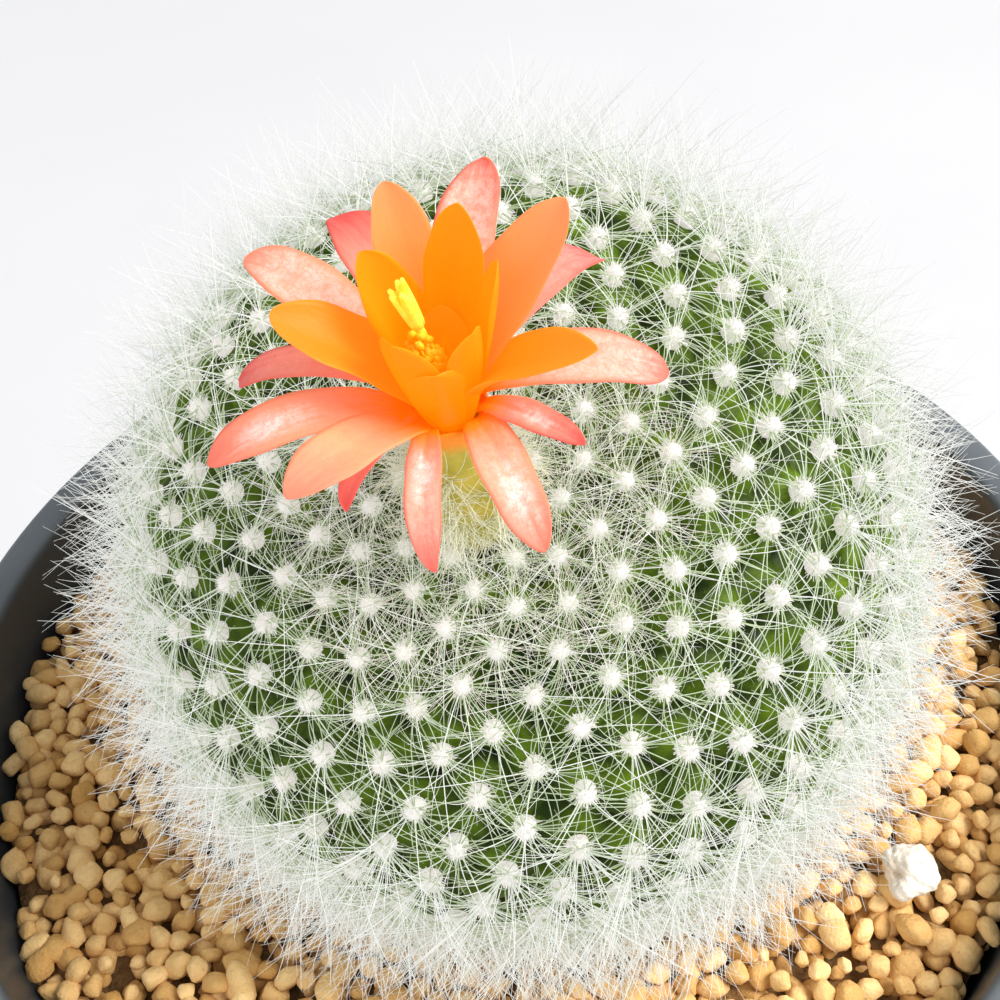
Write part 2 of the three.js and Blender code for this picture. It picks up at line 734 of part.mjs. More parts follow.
function makePistil() {
  const { floor, bend, lobesFrom, top, radius, lobes, spread, lobe } = pistil;
  const head = vec(...pistil.lean, lobesFrom);
  const tip = vec(...pistil.topLean, top);
  const parts = [
    rod(vec(0, 0, floor), vec(0, 0, bend), radius, radius, 6),
    rod(vec(0, 0, bend - 0.2), head, radius, radius, 6),
  ];
  for (let i = 0; i < lobes; i += 1) {
    const turn = (2 * Math.PI * (i + 0.3)) / lobes;
    const outward = vec(Math.cos(turn), Math.sin(turn), 0);
    const foot = head.clone().addScaledVector(outward, 0.06).setZ(lobesFrom - 0.3);
    parts.push(rod(foot, tip.clone().addScaledVector(outward, spread), 0.14, lobe, 4));
  }
  return wasm.Manifold.union(parts);
}

function makeFlower() {
  const bloom = new THREE.Group();
  bloom.add(
    piece('flower_tube', makeTube(), finish.tube),
    piece('flower_outer_tepals', makeWhorl(outerWhorl, outerTepals), finish.outerTepal),
    piece('flower_inner_tepals', makeWhorl(innerWhorl, innerTepals), finish.innerTepal),
    piece('flower_stamens', makeStamens(), finish.stamen),
    piece('flower_pistil', makePistil(), finish.stigma),
  );
  bloom.applyMatrix4(flowerFrame);
  return bloom;
}

// ---------------------------------------------------------------- the whole part

const part = new THREE.Group();
part.add(makePot(), makeSoil(), piece('perlite_crumb', crumbSolid(0), finish.crumb), makeCactus(), makeFlower());

export default part;
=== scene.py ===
"""Potted round cactus: the looks of the pot, granules, ball, spines and flower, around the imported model.

Sizes are named in millimetres and turned into metres (MM) as each mesh is made. Angles are named in degrees.
+Z is up, the origin is the centre of the pot's foot, and -Y is the front that the flower leans to.
"""

import json
import math

import bmesh
import bpy
import numpy as np
from mathutils import Matrix, Vector

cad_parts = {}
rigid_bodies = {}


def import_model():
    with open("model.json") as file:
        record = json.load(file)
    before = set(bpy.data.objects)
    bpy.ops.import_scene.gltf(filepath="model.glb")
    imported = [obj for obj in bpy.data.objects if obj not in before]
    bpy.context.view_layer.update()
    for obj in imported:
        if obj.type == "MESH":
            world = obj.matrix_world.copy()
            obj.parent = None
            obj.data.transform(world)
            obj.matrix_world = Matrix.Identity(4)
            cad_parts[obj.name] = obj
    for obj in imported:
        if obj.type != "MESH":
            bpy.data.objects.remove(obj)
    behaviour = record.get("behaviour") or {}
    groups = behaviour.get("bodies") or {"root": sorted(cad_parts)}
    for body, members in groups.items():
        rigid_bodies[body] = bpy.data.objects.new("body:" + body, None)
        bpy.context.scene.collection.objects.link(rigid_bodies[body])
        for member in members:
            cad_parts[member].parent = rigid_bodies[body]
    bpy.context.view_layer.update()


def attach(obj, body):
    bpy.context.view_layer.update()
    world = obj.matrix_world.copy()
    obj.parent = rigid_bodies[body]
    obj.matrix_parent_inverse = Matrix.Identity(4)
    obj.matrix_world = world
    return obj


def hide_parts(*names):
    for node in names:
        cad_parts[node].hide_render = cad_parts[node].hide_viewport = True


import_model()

MM = 0.001
GOLDEN = math.pi * (3 - math.sqrt(5))
GAP = 0.3

# ---------------------------------------------------------------- driving sizes, in millimetres and degrees

POT_HEIGHT = 65.0
POT_LIP_RADIUS = 37.5
POT_MOUTH_RADIUS = 34.75
POT_FOOT_RADIUS = 27.5
POT_FOOT_INNER = 24.5
POT_WALL = 1.4
POT_FLOOR_UNDERSIDE = 2.0
POT_FLOOR = 3.6
POT_COLLAR = 57.5
POT_FOOT_BEND = 0.42
POT_COLLAR_BEND = 0.45
POT_LIP_BEND = 0.75
POT_MOUTH_BEND = 0.85
DRAIN_RADIUS = 3.0
CENTRE_DRAIN_RADIUS = 4.5
DRAIN_RING = 15.0
DRAIN_COUNT = 6
POT_SIDES = 144

SOIL_LEVEL = 60.1
BED_LEVEL = 58.9
BED_PLAY = 0.4
GRANULE_GAP = 1.08
GRANULE_RADIUS = 0.84
GRANULE_SPREAD = (0.65, 1.4)
GRANULE_SEEDS = range(61, 71)

CRUMB_CENTRE = (21.25, -18.9, 61.3)
CRUMB_RADII = (1.6, 1.6, 1.4)
CRUMB_BARE = 2.3

BALL_CENTRE = Vector((2.5, 0.0, 72.4))
BALL_RADIUS = 22.1
TIP_TILT = 35.5
TIP_AZIMUTH = -99.5

# Round its tip the ball is sunk by a share of its radius. The cells of old and young areoles are in square
# millimetres. The two widths are angles from the tip in radians, and so are the places where the crown's wool
# ends and the flanks' coat starts.
TIP_SINK = 0.06
TIP_SINK_WIDTH = 0.25
OLD_CELL = 12.5
YOUNG_CELL = 3.6
CELL_WIDTH = 0.75
CROWN_WOOL = 0.42
FLANK = 0.82

# The depth of the grooves and the place of a cell's corners are shares of the cell's width.
TUBERCLE_DEPTH = 0.3
HEX_CORNER = 0.62
SKIN_WOBBLE = 0.25

# Areoles above the lowest one carry hairs, those up to the skirt's height a further coat of them.
AREOLE_LOWEST = SOIL_LEVEL - 0.6
SKIRT_HEIGHT = 9.0
HAIR_LOWEST = SOIL_LEVEL + 1.1
PAD_WIDTH = 0.6
PAD_HEIGHT = 0.76
# Painted shade darkens the hairs towards the back of the ball: by this share, over this depth in millimetres
# behind the middle.
BACK_SHADE = 0.22
BACK_SHADE_DEPTH = 22.0

ROOT_TOP = 57.0
ROOT_SHOULDER = 47.0
ROOT_NECK_RADIUS = 8.5
ROOT_BOTTOM = 24.0
ROOT_TIP_RADIUS = 1.2

SEAT_TILT = 36.8
SEAT_AZIMUTH = -99.0
FLOWER_AXIS = Vector((-0.022, -0.259, 0.9655)).normalized()
BARE_SEAT = 2.5

# Radius and height of the flower tube's outline: its underside, up its outside, and down its mouth.
TUBE_PROFILE = [
    (0.0, -1.2), (1.7, -1.2), (2.05, 0.6), (2.1, 2.2), (1.75, 3.8), (1.35, 5.0), (1.3, 6.2), (1.5, 7.4),
    (1.4, 7.8), (1.15, 7.5), (1.0, 6.0), (0.95, 4.6), (0.85, 3.6), (0.0, 3.4),
]
TUBE_OUTSIDE = TUBE_PROFILE[1:8]
TUBE_WOOL = (0.0, 4.6)
TUBE_TUFTS = 250

# Whorls: radius and height of the ring that the tepals leave, how far they lean there, and how far their rims
# are raised, as a share of their width.
OUTER_WHORL = {"start": 1.35, "base": 7.6, "lean": 35, "cup": 0.10}
INNER_WHORL = {"start": 1.0, "base": 7.9, "lean": 15, "cup": 0.20}


def petal(azimuth, opening, length, width, pink=0.0, pale=0.0, skew=0.0, glint=0.0, shift=0.0):
    """One tepal: its heading, how far it opens from the axis, its size and its tints.

    Its tip is skewed to a side, a painted glint lies part of the way along it, and its claw is shifted aside.
    """
    return dict(azimuth=azimuth, opening=opening, length=length, width=width, pink=pink, pale=pale, skew=skew,
                glint=glint, shift=shift)


OUTER_TEPALS = [
    petal(-4.2, 131.8, 7.9, 2.35, pink=0.65, pale=0.65, skew=0.2, shift=0.95),
    petal(39.8, 140.9, 8.6, 2.5, pink=1.0, pale=0.25, skew=-0.2, shift=0.6),
    petal(70.9, 83.4, 8.65, 2.5, pink=0.6, pale=0.75, shift=0.7),
    petal(113.2, 112.5, 8.6, 2.6, pink=1.0, skew=0.5, shift=-0.4),
    petal(138.2, 100.9, 8.9, 2.5, pink=0.25, pale=0.8, skew=0.25, shift=0.5),
    petal(161.8, 142.5, 8.2, 1.7, pink=0.95, pale=0.15, skew=-0.25, shift=-0.8),
    petal(190.0, 126.9, 8.8, 2.0, pink=0.4, pale=0.15, skew=-0.15, glint=0.66),
    petal(221.7, 85.1, 7.4, 2.35, pink=0.2, pale=0.1, shift=-0.4),
    petal(226.7, 123.7, 5.2, 1.1, pink=1.0, skew=0.9, shift=-0.95),
    petal(262.9, 104.3, 7.8, 1.3, pink=0.8, pale=0.3, skew=0.8, glint=0.5, shift=-0.8),
    petal(288.2, 107.1, 8.0, 1.85, pink=0.4, pale=0.42, glint=0.7, shift=0.7),
    petal(313.7, 78.5, 6.4, 1.15, pink=0.9, pale=0.2, skew=-0.15, glint=0.6, shift=0.85),
]
INNER_TEPALS = [
    petal(328.7, 64.8, 8.45, 2.25, pink=0.1, skew=0.45, shift=0.5),
    petal(13.9, 13.5, 6.95, 1.7, skew=0.4, shift=-0.2),
    petal(27.1, 55.8, 8.7, 2.8, pink=0.8, skew=0.45, shift=0.25),
    petal(62.0, 21.3, 7.65, 2.4, skew=0.15),
    petal(99.5, 43.7, 8.05, 2.45, pink=0.7, shift=-0.4),
    petal(129.9, 21.0, 6.7, 2.4, skew=-0.1, shift=-0.35),
    petal(168.5, 63.7, 7.3, 2.65, pink=0.15, skew=-0.4, shift=-0.1),
    petal(222.0, 0.0, 5.5, 2.9),
    petal(318.0, 3.0, 5.6, 2.2),
    petal(78.0, 8.0, 3.7, 2.1),
    petal(270.0, 8.0, 4.5, 2.4),
]
TEPAL_THICKNESS = 0.30
TEPAL_THINNING = 0.16
TEPAL_WIDEST = 0.5

STAMEN_COUNT = 60
STAMEN_FOOT = 3.6
STAMEN_KNEE = 7.5
STAMEN_TOP = 12.6
ANTHER_RADII = (0.16, 0.27)
STYLE_FOOT = 3.5
STYLE_BEND = 8.0
STYLE_TOP = 12.8
STYLE_RADIUS = 0.17
LOBE_COUNT = 5
LOBE_FOOT = 12.6
LOBE_TOP = 14.5

CAMERA_TARGET = Vector((1.65, 11.4, 65.0))
CAMERA_DISTANCE = 88.35
CAMERA_ELEVATION = 45.52
CAMERA_ROLL = -8.75
CAMERA_FIELD = 44.0
CAMERA_NEAREST = 5.0
CAMERA_FARTHEST = 10000.0

LIGHTS = {
    "key": {"place": (300, -80, 340), "size": 230, "power": 3.1, "colour": (1.0, 0.98, 0.95)},
    "fill": {"place": (-300, -260, 240), "size": 360, "power": 0.95, "colour": (0.96, 0.98, 1.0)},
}
SKY_COLOUR = (0.97, 0.98, 1.0, 1)
SKY_STRENGTH = 0.54
FLOOR_HALF = 1500.0
FLOOR_GLOW = 0.70


# ---------------------------------------------------------------- small helpers

def direction(tilt, azimuth):
    """The unit vector at a tilt from +Z and an azimuth from +X, in degrees."""
    flat = math.sin(math.radians(tilt))
    turn = math.radians(azimuth)
    return Vector((flat * math.cos(turn), flat * math.sin(turn), math.cos(math.radians(tilt))))


def across(axis):
    """Two unit vectors across an axis, the first as near to +X as it can be."""
    first = (Vector((1, 0, 0)) - axis * axis.x).normalized()
    return first, axis.cross(first)


def swept(first, second, turn):
    """A vector turned from one direction towards another, by an angle in radians."""
    return first * math.cos(turn) + second * math.sin(turn)


def around(turn):
    """The level unit vector at a turn from +X, in radians."""
    return Vector((math.cos(turn), math.sin(turn), 0))


def in_scene(name, data):
    """A new object in the scene."""
    made = bpy.data.objects.new(name, data)
    bpy.context.scene.collection.objects.link(made)
    return made


def smoothed(mesh):
    """A mesh with all its faces shaded smooth."""
    mesh.polygons.foreach_set("use_smooth", [True] * len(mesh.polygons))
    return mesh


def mesh_object(name, points, faces, **attributes):
    """A smooth mesh object from points in millimetres, with named point attributes."""
    mesh = bpy.data.meshes.new(name)
    mesh.from_pydata((np.asarray(points, float) * MM).tolist(), [], faces)
    for key, values in attributes.items():
        data = np.asarray(values, float)
        kind, field = ("FLOAT", "value") if data.ndim == 1 else ("FLOAT_VECTOR", "vector")
        mesh.attributes.new(key, kind, "POINT").data.foreach_set(field, data.ravel())
    smoothed(mesh).update()
    return in_scene(name, mesh)


def bare_mesh(made):
    """The mesh of an object that is itself no longer needed."""
    mesh = made.data
    bpy.data.objects.remove(made)
    return mesh


def worked_mesh(name, work):
    """The smooth mesh of a bmesh, which is freed."""
    mesh = bpy.data.meshes.new(name)
    work.to_mesh(mesh)
    work.free()
    return smoothed(mesh)


def flattened(made):
    """An object whose modifiers are worked into its mesh and removed."""
    evaluated = made.evaluated_get(bpy.context.evaluated_depsgraph_get())
    mesh = bpy.data.meshes.new_from_object(evaluated)
    made.modifiers.clear()
    made.data = mesh
    return made


def loft(rings, sides):
    """A closed skin through level rings (centre x, radius, height); a radius of zero is a pole."""
    points = []
    starts = []
    for centre, radius, height in rings:
        starts.append(len(points))
        count = sides if radius > 0 else 1
        for k in range(count):
            turn = 2 * math.pi * k / sides
            points.append((centre + radius * math.cos(turn), radius * math.sin(turn), height))
    faces = []
    for i in range(len(rings) - 1):
        low, high = starts[i], starts[i + 1]
        for k in range(sides):
            n = (k + 1) % sides
            if rings[i][1] == 0:
                faces.append((low, high + n, high + k))
            elif rings[i + 1][1] == 0:
                faces.append((low + k, low + n, high))
            else:
                faces.append((low + k, low + n, high + n, high + k))
    return points, faces


def outward_faces(made):
    """Turns every face of a closed mesh outwards."""
    work = bmesh.new()
    work.from_mesh(made.data)
    bmesh.ops.recalc_face_normals(work, faces=work.faces)
    work.to_mesh(made.data)
    work.free()
    return made


def joined(parts):
    """Several (points, faces, attributes) as one, in order."""
    points, faces, attributes = [], [], {}
    for part_points, part_faces, part_attributes in parts:
        shift = len(points)
        points.extend(part_points)
        faces.extend(tuple(i + shift for i in face) for face in part_faces)
        for key, values in part_attributes.items():
            attributes.setdefault(key, []).extend(values)
    return points, faces, attributes


def dressed(made, material, slot, *nodes):
    """Gives a finished piece its material and its body, and hides the CAD nodes that it stands for; its
    record slot is not used.
    """
    made.data.materials.clear()
    made.data.materials.append(material)
    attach(made, "root")
    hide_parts(*nodes)
    return made


# ---------------------------------------------------------------- node helpers

def feed(tree, value, socket):
    """Links a socket to another node's output, or sets its value."""
    if isinstance(value, bpy.types.NodeSocket):
        tree.links.new(value, socket)
    else:
        socket.default_value = value


def add_node(tree, kind, inputs=None, **settings):
    """A node with its settings, and its inputs by socket name or number."""
    made = tree.nodes.new(kind)
    for key, value in settings.items():
        setattr(made, key, value)
    for key, value in (inputs or {}).items():
        feed(tree, value, made.inputs[key])
    return made


def calc(tree, operation, *values):
    """A number worked out by a Math node."""
    return add_node(tree, "ShaderNodeMath", dict(enumerate(values)), operation=operation).outputs[0]


def product(tree, first, *others):
    """Several numbers multiplied, from the first to the last."""
    for other in others:
        first = calc(tree, "MULTIPLY", first, other)
    return first


def one_less(tree, *values):
    """One less the product of some numbers."""
    return calc(tree, "SUBTRACT", 1.0, product(tree, *values))


def apart(tree, first, second):
    """How far two numbers are apart."""
    return calc(tree, "ABSOLUTE", calc(tree, "SUBTRACT", first, second))


def ranged(tree, value, low, high, to_low=0.0, to_high=1.0):
    """A value stretched from one range to another and held inside it."""
    inputs = {0: value, 1: low, 2: high, 3: to_low, 4: to_high}
    return add_node(tree, "ShaderNodeMapRange", inputs, clamp=True).outputs[0]


def vector_calc(tree, operation, *values):
    """A vector worked out by a Vector Math node, or a number for DOT_PRODUCT, LENGTH and DISTANCE."""
    made = add_node(tree, "ShaderNodeVectorMath", dict(enumerate(values)), operation=operation)
    return made.outputs[1 if operation in ("DOT_PRODUCT", "LENGTH", "DISTANCE") else 0]


def scaled(tree, vector, factor):
    """A vector times a number."""
    return add_node(tree, "ShaderNodeVectorMath", {0: vector, "Scale": factor}, operation="SCALE").outputs[0]


def weighted(tree, first, amount, second, other_amount):
    """The sum of two vectors, each times its own number."""
    return vector_calc(tree, "ADD", scaled(tree, first, amount), scaled(tree, second, other_amount))


def combined(tree, x=0.0, y=0.0, z=0.0):
    """A vector from its three numbers."""
    return add_node(tree, "ShaderNodeCombineXYZ", {0: x, 1: y, 2: z}).outputs[0]


def split(tree, vector):
    """The three numbers of a vector."""
    return add_node(tree, "ShaderNodeSeparateXYZ", {0: vector}).outputs


def noise(tree, place, scale, detail, roughness=0.5):
    """The value of a noise texture at a place."""
    inputs = {"Vector": place, "Scale": scale, "Detail": detail, "Roughness": roughness}
    return add_node(tree, "ShaderNodeTexNoise", inputs).outputs[0]


def named(tree, name, kind="FLOAT"):
    """A named attribute in a Geometry Nodes tree."""
    return add_node(tree, "GeometryNodeInputNamedAttribute", {"Name": name}, data_type=kind).outputs[0]


def stored(tree, geometry, name, value, kind="FLOAT"):
    """Geometry with a named attribute stored on its points."""
    inputs = {"Geometry": geometry, "Name": name, "Value": value}
    made = add_node(tree, "GeometryNodeStoreNamedAttribute", inputs, data_type=kind, domain="POINT")
    return made.outputs[0]


def drawn(tree, low, high, seed, key=None):
    """A random number for each element, by its index or by a key of its own."""
    inputs = {2: low, 3: high, "Seed": seed}
    if key is not None:
        inputs["ID"] = key
    return add_node(tree, "FunctionNodeRandomValue", inputs, data_type="FLOAT").outputs[1]


def changed(tree, step, geometry, **inputs):
    """Geometry after one step: SetPosition, RealizeInstances, SetShadeSmooth or SetMaterial."""
    return add_node(tree, "GeometryNode" + step, {"Geometry": geometry, **inputs}).outputs[0]


def planted(tree, points, shape, rotation, scale):
    """Realized copies of a shape, one on every point."""
    copies = add_node(tree, "GeometryNodeInstanceOnPoints", {
        "Points": points, "Instance": shape, "Rotation": rotation, "Scale": scale,
    }).outputs[0]
    return changed(tree, "RealizeInstances", copies)


def icosphere(tree, fineness):
    """A ball of unit radius."""
    inputs = {"Radius": 1.0, "Subdivisions": fineness}
    return add_node(tree, "GeometryNodeMeshIcoSphere", inputs).outputs[0]


def facing_along(tree, vector):
    """The rotation that turns +Z to a vector."""
    return add_node(tree, "FunctionNodeAlignRotationToVector", {"Vector": vector}, axis="Z").outputs[0]


def new_tree(name, sockets):
    """A Geometry Nodes tree with named inputs (name: socket type), and its inner inputs and outputs."""
    tree = bpy.data.node_groups.new(name, "GeometryNodeTree")
    tree.interface.new_socket("Geometry", in_out="INPUT", socket_type="NodeSocketGeometry")
    for key, kind in sockets.items():
        tree.interface.new_socket(key, in_out="INPUT", socket_type="NodeSocket" + kind)
    tree.interface.new_socket("Geometry", in_out="OUTPUT", socket_type="NodeSocketGeometry")
    return tree, tree.nodes.new("NodeGroupInput").outputs, tree.nodes.new("NodeGroupOutput").inputs


def ended(tree, given, out, geometry):
    """A tree whose last step gives its geometry the material of its input."""
    feed(tree, changed(tree, "SetMaterial", geometry, Material=given["Material"]), out["Geometry"])
    return tree


def grown(name, source, tree, **values):
    """Runs a Geometry Nodes tree on a source mesh and keeps its result as a plain mesh object."""
    made = in_scene(name, source)
    modifier = made.modifiers.new(tree.name, "NODES")
    modifier.node_group = tree
    for item in tree.interface.items_tree:
        key = item.name.lower().replace(" ", "_")
        if item.in_out == "INPUT" and key in values:
            modifier[item.identifier] = values[key]
    return flattened(made)


# ---------------------------------------------------------------- shader groups

def new_group(name, inputs, outputs):
    """A shader node group with inputs (name: (socket type, default)) and outputs (name: socket type)."""
    tree = bpy.data.node_groups.new(name, "ShaderNodeTree")
    for key, (kind, default) in inputs.items():
        socket = tree.interface.new_socket(key, in_out="INPUT", socket_type="NodeSocket" + kind)
        socket.default_value = default
    for key, kind in outputs.items():
        tree.interface.new_socket(key, in_out="OUTPUT", socket_type="NodeSocket" + kind)
    return tree, tree.nodes.new("NodeGroupInput").outputs, tree.nodes.new("NodeGroupOutput").inputs


def mix_colour(tree, factor, first, second, blend="MIX"):
    """A mix of two colours."""
    inputs = {0: factor, 6: first, 7: second}
    return add_node(tree, "ShaderNodeMix", inputs, data_type="RGBA", blend_type=blend).outputs[2]


def object_coords(tree):
    """The place on the piece, in metres from the part's origin."""
    return add_node(tree, "ShaderNodeTexCoord").outputs["Object"]


def attribute(tree, name, output="Fac"):
    """A named attribute of the mesh, as a number or as its Vector."""
    made = add_node(tree, "ShaderNodeAttribute", attribute_name=name, attribute_type="GEOMETRY")
    return made.outputs[output]


def make_mottle():
    """Soft patches of two colours, as natural surfaces have."""
    tree, given, out = new_group("mottle", {
        "Scale": ("Float", 900.0),
        "Low": ("Float", 0.35),
        "High": ("Float", 0.65),
        "Dark": ("Color", (0, 0, 0, 1)),
        "Light": ("Color", (1, 1, 1, 1)),
    }, {"Colour": "Color", "Mask": "Float"})
    patches = noise(tree, object_coords(tree), given["Scale"], 5.0, 0.6)
    mask = ranged(tree, patches, given["Low"], given["High"])
    feed(tree, mix_colour(tree, mask, given["Dark"], given["Light"]), out["Colour"])
    feed(tree, mask, out["Mask"])
    return tree


def make_grain():
    """The height of a fine rough grain, with a coarser undulation under it."""
    tree, given, out = new_group("grain", {
        "Fine": ("Float", 6000.0),
        "Coarse": ("Float", 900.0),
        "Coarse share": ("Float", 0.5),
    }, {"Height": "Float"})
    place = object_coords(tree)
    broad = product(tree, noise(tree, place, given["Coarse"], 2.0), given["Coarse share"])
    feed(tree, calc(tree, "ADD", noise(tree, place, given["Fine"], 3.0), broad), out["Height"])
    return tree


def make_hair_tint():
    """A hair's colour from its foot to its tip, a little different on each hair."""
    tree, given, out = new_group("hair_tint", {
        "Foot": ("Color", (1, 1, 1, 1)),
        "Tip": ("Color", (1, 1, 1, 1)),
        "Other": ("Color", (1, 1, 1, 1)),
        "Other share": ("Float", 0.4),
    }, {"Colour": "Color"})
    along = ranged(tree, attribute(tree, "along"), 0.0, 0.6)
    hair = mix_colour(tree, along, given["Foot"], given["Tip"])
    other = product(tree, attribute(tree, "tone"), given["Other share"])
    feed(tree, mix_colour(tree, other, hair, given["Other"]), out["Colour"])
    return tree


def make_petal_colour():
    """A petal's colour from throat to tip, with pink and pale shares, crinkles, a painted glint and a red
    rim.
    """
    tree, given, out = new_group("petal_colour", {
        "Throat": ("Color", (1, 0.2, 0, 1)),
        "Middle": ("Color", (1, 0.4, 0.1, 1)),
        "Pink middle": ("Color", (1, 0.4, 0.1, 1)),
        "Tip": ("Color", (1, 0.5, 0.4, 1)),
        "Pink tip": ("Color", (1, 0.3, 0.3, 1)),
        "Pale": ("Color", (1, 0.8, 0.7, 1)),
        "Turn": ("Float", 0.45),
    }, {"Colour": "Color", "Streak": "Float"})
    pink = attribute(tree, "pink")
    rim = attribute(tree, "rim")
    glint_place = attribute(tree, "glint")
    blade = attribute(tree, "blade", "Vector")
    stretch = add_node(tree, "ShaderNodeMapping", {"Vector": blade, "Scale": (5.0, 0.45, 1.0)})
    streak = noise(tree, stretch.outputs[0], 1.0, 4.0, 0.65)
    place = calc(tree, "ADD", attribute(tree, "along"), calc(tree, "MULTIPLY_ADD", streak, 0.3, -0.15))
    # From the throat over the middle to the tip.
    middle = mix_colour(tree, pink, given["Middle"], given["Pink middle"])
    tip = mix_colour(tree, pink, given["Tip"], given["Pink tip"])
    lower = mix_colour(tree, ranged(tree, place, 0.12, given["Turn"]), given["Throat"], middle)
    whole = mix_colour(tree, ranged(tree, place, 0.6, 0.95), lower, tip)
    # A net of fine crinkles, pale where the petal is.
    crinkle = ranged(tree, apart(tree, noise(tree, blade, 4.2, 2.0), 0.5), 0.0, 0.05, 0.5, 1.0)
    net = product(tree, ranged(tree, noise(tree, blade, 2.4, 5.0, 0.7), 0.4, 0.56, 0.45, 1.0), crinkle)
    window = product(tree, ranged(tree, place, 0.18, 0.45), ranged(tree, place, 1.0, 0.8))
    flat = product(tree, ranged(tree, rim, 0.98, 0.7), net)
    pale = product(tree, attribute(tree, "pale"), window, flat)
    glossy = mix_colour(tree, pale, whole, given["Pale"])
    # The painted glint: a white highlight painted on petals that have one.
    away = apart(tree, place, glint_place)
    spot = product(tree, ranged(tree, away, 0.2, 0.03, 0.0, 0.5), ranged(tree, rim, 0.7, 0.2))
    painted_glint = product(tree, spot, net, calc(tree, "GREATER_THAN", glint_place, 0.1))
    shining = mix_colour(tree, painted_glint, glossy, (1.0, 0.93, 0.93, 1))
    edge = product(tree, ranged(tree, rim, 0.85, 1.0, 0.0, 0.6), ranged(tree, place, 0.35, 0.7), pink)
    feed(tree, mix_colour(tree, edge, shining, given["Pink tip"]), out["Colour"])
    feed(tree, streak, out["Streak"])
    return tree


def make_petal_cells():
    """The height of the net of swollen cells that makes a petal glisten."""
    tree, given, out = new_group("petal_cells", {
        "Across": ("Float", 7.0),
        "Along": ("Float", 3.5),
    }, {"Height": "Float"})
    scale = combined(tree, given["Across"], given["Along"], 1.0)
    place = vector_calc(tree, "MULTIPLY", attribute(tree, "blade", "Vector"), scale)
    cells = add_node(tree, "ShaderNodeTexVoronoi", {"Vector": place, "Scale": 1.0}, feature="SMOOTH_F1")
    bulge = one_less(tree, cells.outputs["Distance"])
    feed(tree, calc(tree, "MULTIPLY_ADD", noise(tree, place, 0.22, 2.0), 1.6, bulge), out["Height"])
    return tree


MOTTLE = make_mottle()
GRAIN = make_grain()
HAIR_TINT = make_hair_tint()
PETAL_COLOUR = make_petal_colour()
PETAL_CELLS = make_petal_cells()


# ---------------------------------------------------------------- materials

def new_material(name, **sockets):
    """A material with a Principled BSDF; the sockets given are constants, such as Specular_IOR_Level=0.2."""
    material = bpy.data.materials.new(name)
    material.use_nodes = True
    shader = material.node_tree.nodes["Principled BSDF"]
    for key, value in sockets.items():
        shader.inputs[key.replace("_", " ")].default_value = value
    return material, material.node_tree, shader.inputs


def lit_within(sockets, weight, radius, depth):
    """Lets light wander under a surface, the depth in millimetres."""
    sockets["Subsurface Weight"].default_value = weight
    sockets["Subsurface Radius"].default_value = radius
    sockets["Subsurface Scale"].default_value = depth * MM


def placed(tree, group, **values):
    """A shader group placed in a material with its own values."""
    made = tree.nodes.new("ShaderNodeGroup")
    made.node_tree = group
    for key, value in values.items():
        feed(tree, value, made.inputs[key.replace("_", " ")])
    return made.outputs


def bumped(tree, sockets, height, strength, distance):
    """Bumps a surface by a height, the distance in millimetres."""
    inputs = {"Height": height, "Strength": strength, "Distance": distance * MM}
    feed(tree, add_node(tree, "ShaderNodeBump", inputs).outputs[0], sockets["Normal"])


def roughened(tree, sockets, strength, distance, **grain):
    """Bumps a surface by the rough grain, the distance in millimetres."""
    bumped(tree, sockets, placed(tree, GRAIN, **grain)["Height"], strength, distance)


def dimmed(tree, colour, shade):
    """A colour times one number."""
    return mix_colour(tree, 1.0, colour, (shade, shade, shade, 1), "MULTIPLY")


def pot_plastic():
    """Slate-grey moulded plastic, with painted shade that makes it near black inside the pot."""
    material, tree, sockets = new_material("pot_plastic", Roughness=0.4, Specular_IOR_Level=0.5)
    colour = placed(tree, MOTTLE, Scale=260.0, Dark=(0.096, 0.110, 0.124, 1), Light=(0.114, 0.130, 0.146, 1))
    # Painted shade: the wall is painted near black inside the pot, where the deep shadow falls.
    slope = pot_inside(1.0) - pot_inside(0.0)
    soft_edge = 0.5 * MM
    inner = calc(tree, "MULTIPLY_ADD", split(tree, object_coords(tree))[2], slope, pot_inside(0.0) * MM)
    flat = vector_calc(tree, "MULTIPLY", object_coords(tree), (1.0, 1.0, 0.0))
    outside = ranged(tree, calc(tree, "SUBTRACT", vector_calc(tree, "LENGTH", flat), inner), 0.0, soft_edge)
    shade = mix_colour(tree, outside, (0.012, 0.014, 0.017, 1), colour["Colour"])
    feed(tree, shade, sockets["Base Color"])
    feed(tree, ranged(tree, colour["Mask"], 0, 1, 0.36, 0.47), sockets["Roughness"])
    roughened(tree, sockets, 0.25, 0.02, Fine=9000.0, Coarse=1500.0)
    return material


def granule_clay():
    """Dry baked clay, tan, a little different on each granule."""
    material, tree, sockets = new_material("granule_clay", Roughness=0.9, Specular_IOR_Level=0.3)
    own = mix_colour(tree, attribute(tree, "tone"), (0.62, 0.35, 0.105, 1), (1.0, 0.71, 0.34, 1))
    patches = placed(tree, MOTTLE, Scale=1100.0, Dark=(0.84, 0.78, 0.70, 1), Light=(1.0, 1.0, 1.0, 1))
    base = mix_colour(tree, 1.0, own, patches["Colour"], "MULTIPLY")
    specks = placed(tree, MOTTLE, Scale=4200.0, Low=0.28, High=0.42,
                    Dark=(0.62, 0.52, 0.42, 1), Light=(1, 1, 1, 1))
    feed(tree, mix_colour(tree, 0.6, base, specks["Colour"], "MULTIPLY"), sockets["Base Color"])
    roughened(tree, sockets, 0.6, 0.12, Fine=5200.0, Coarse=1300.0, Coarse_share=0.9)
    return material


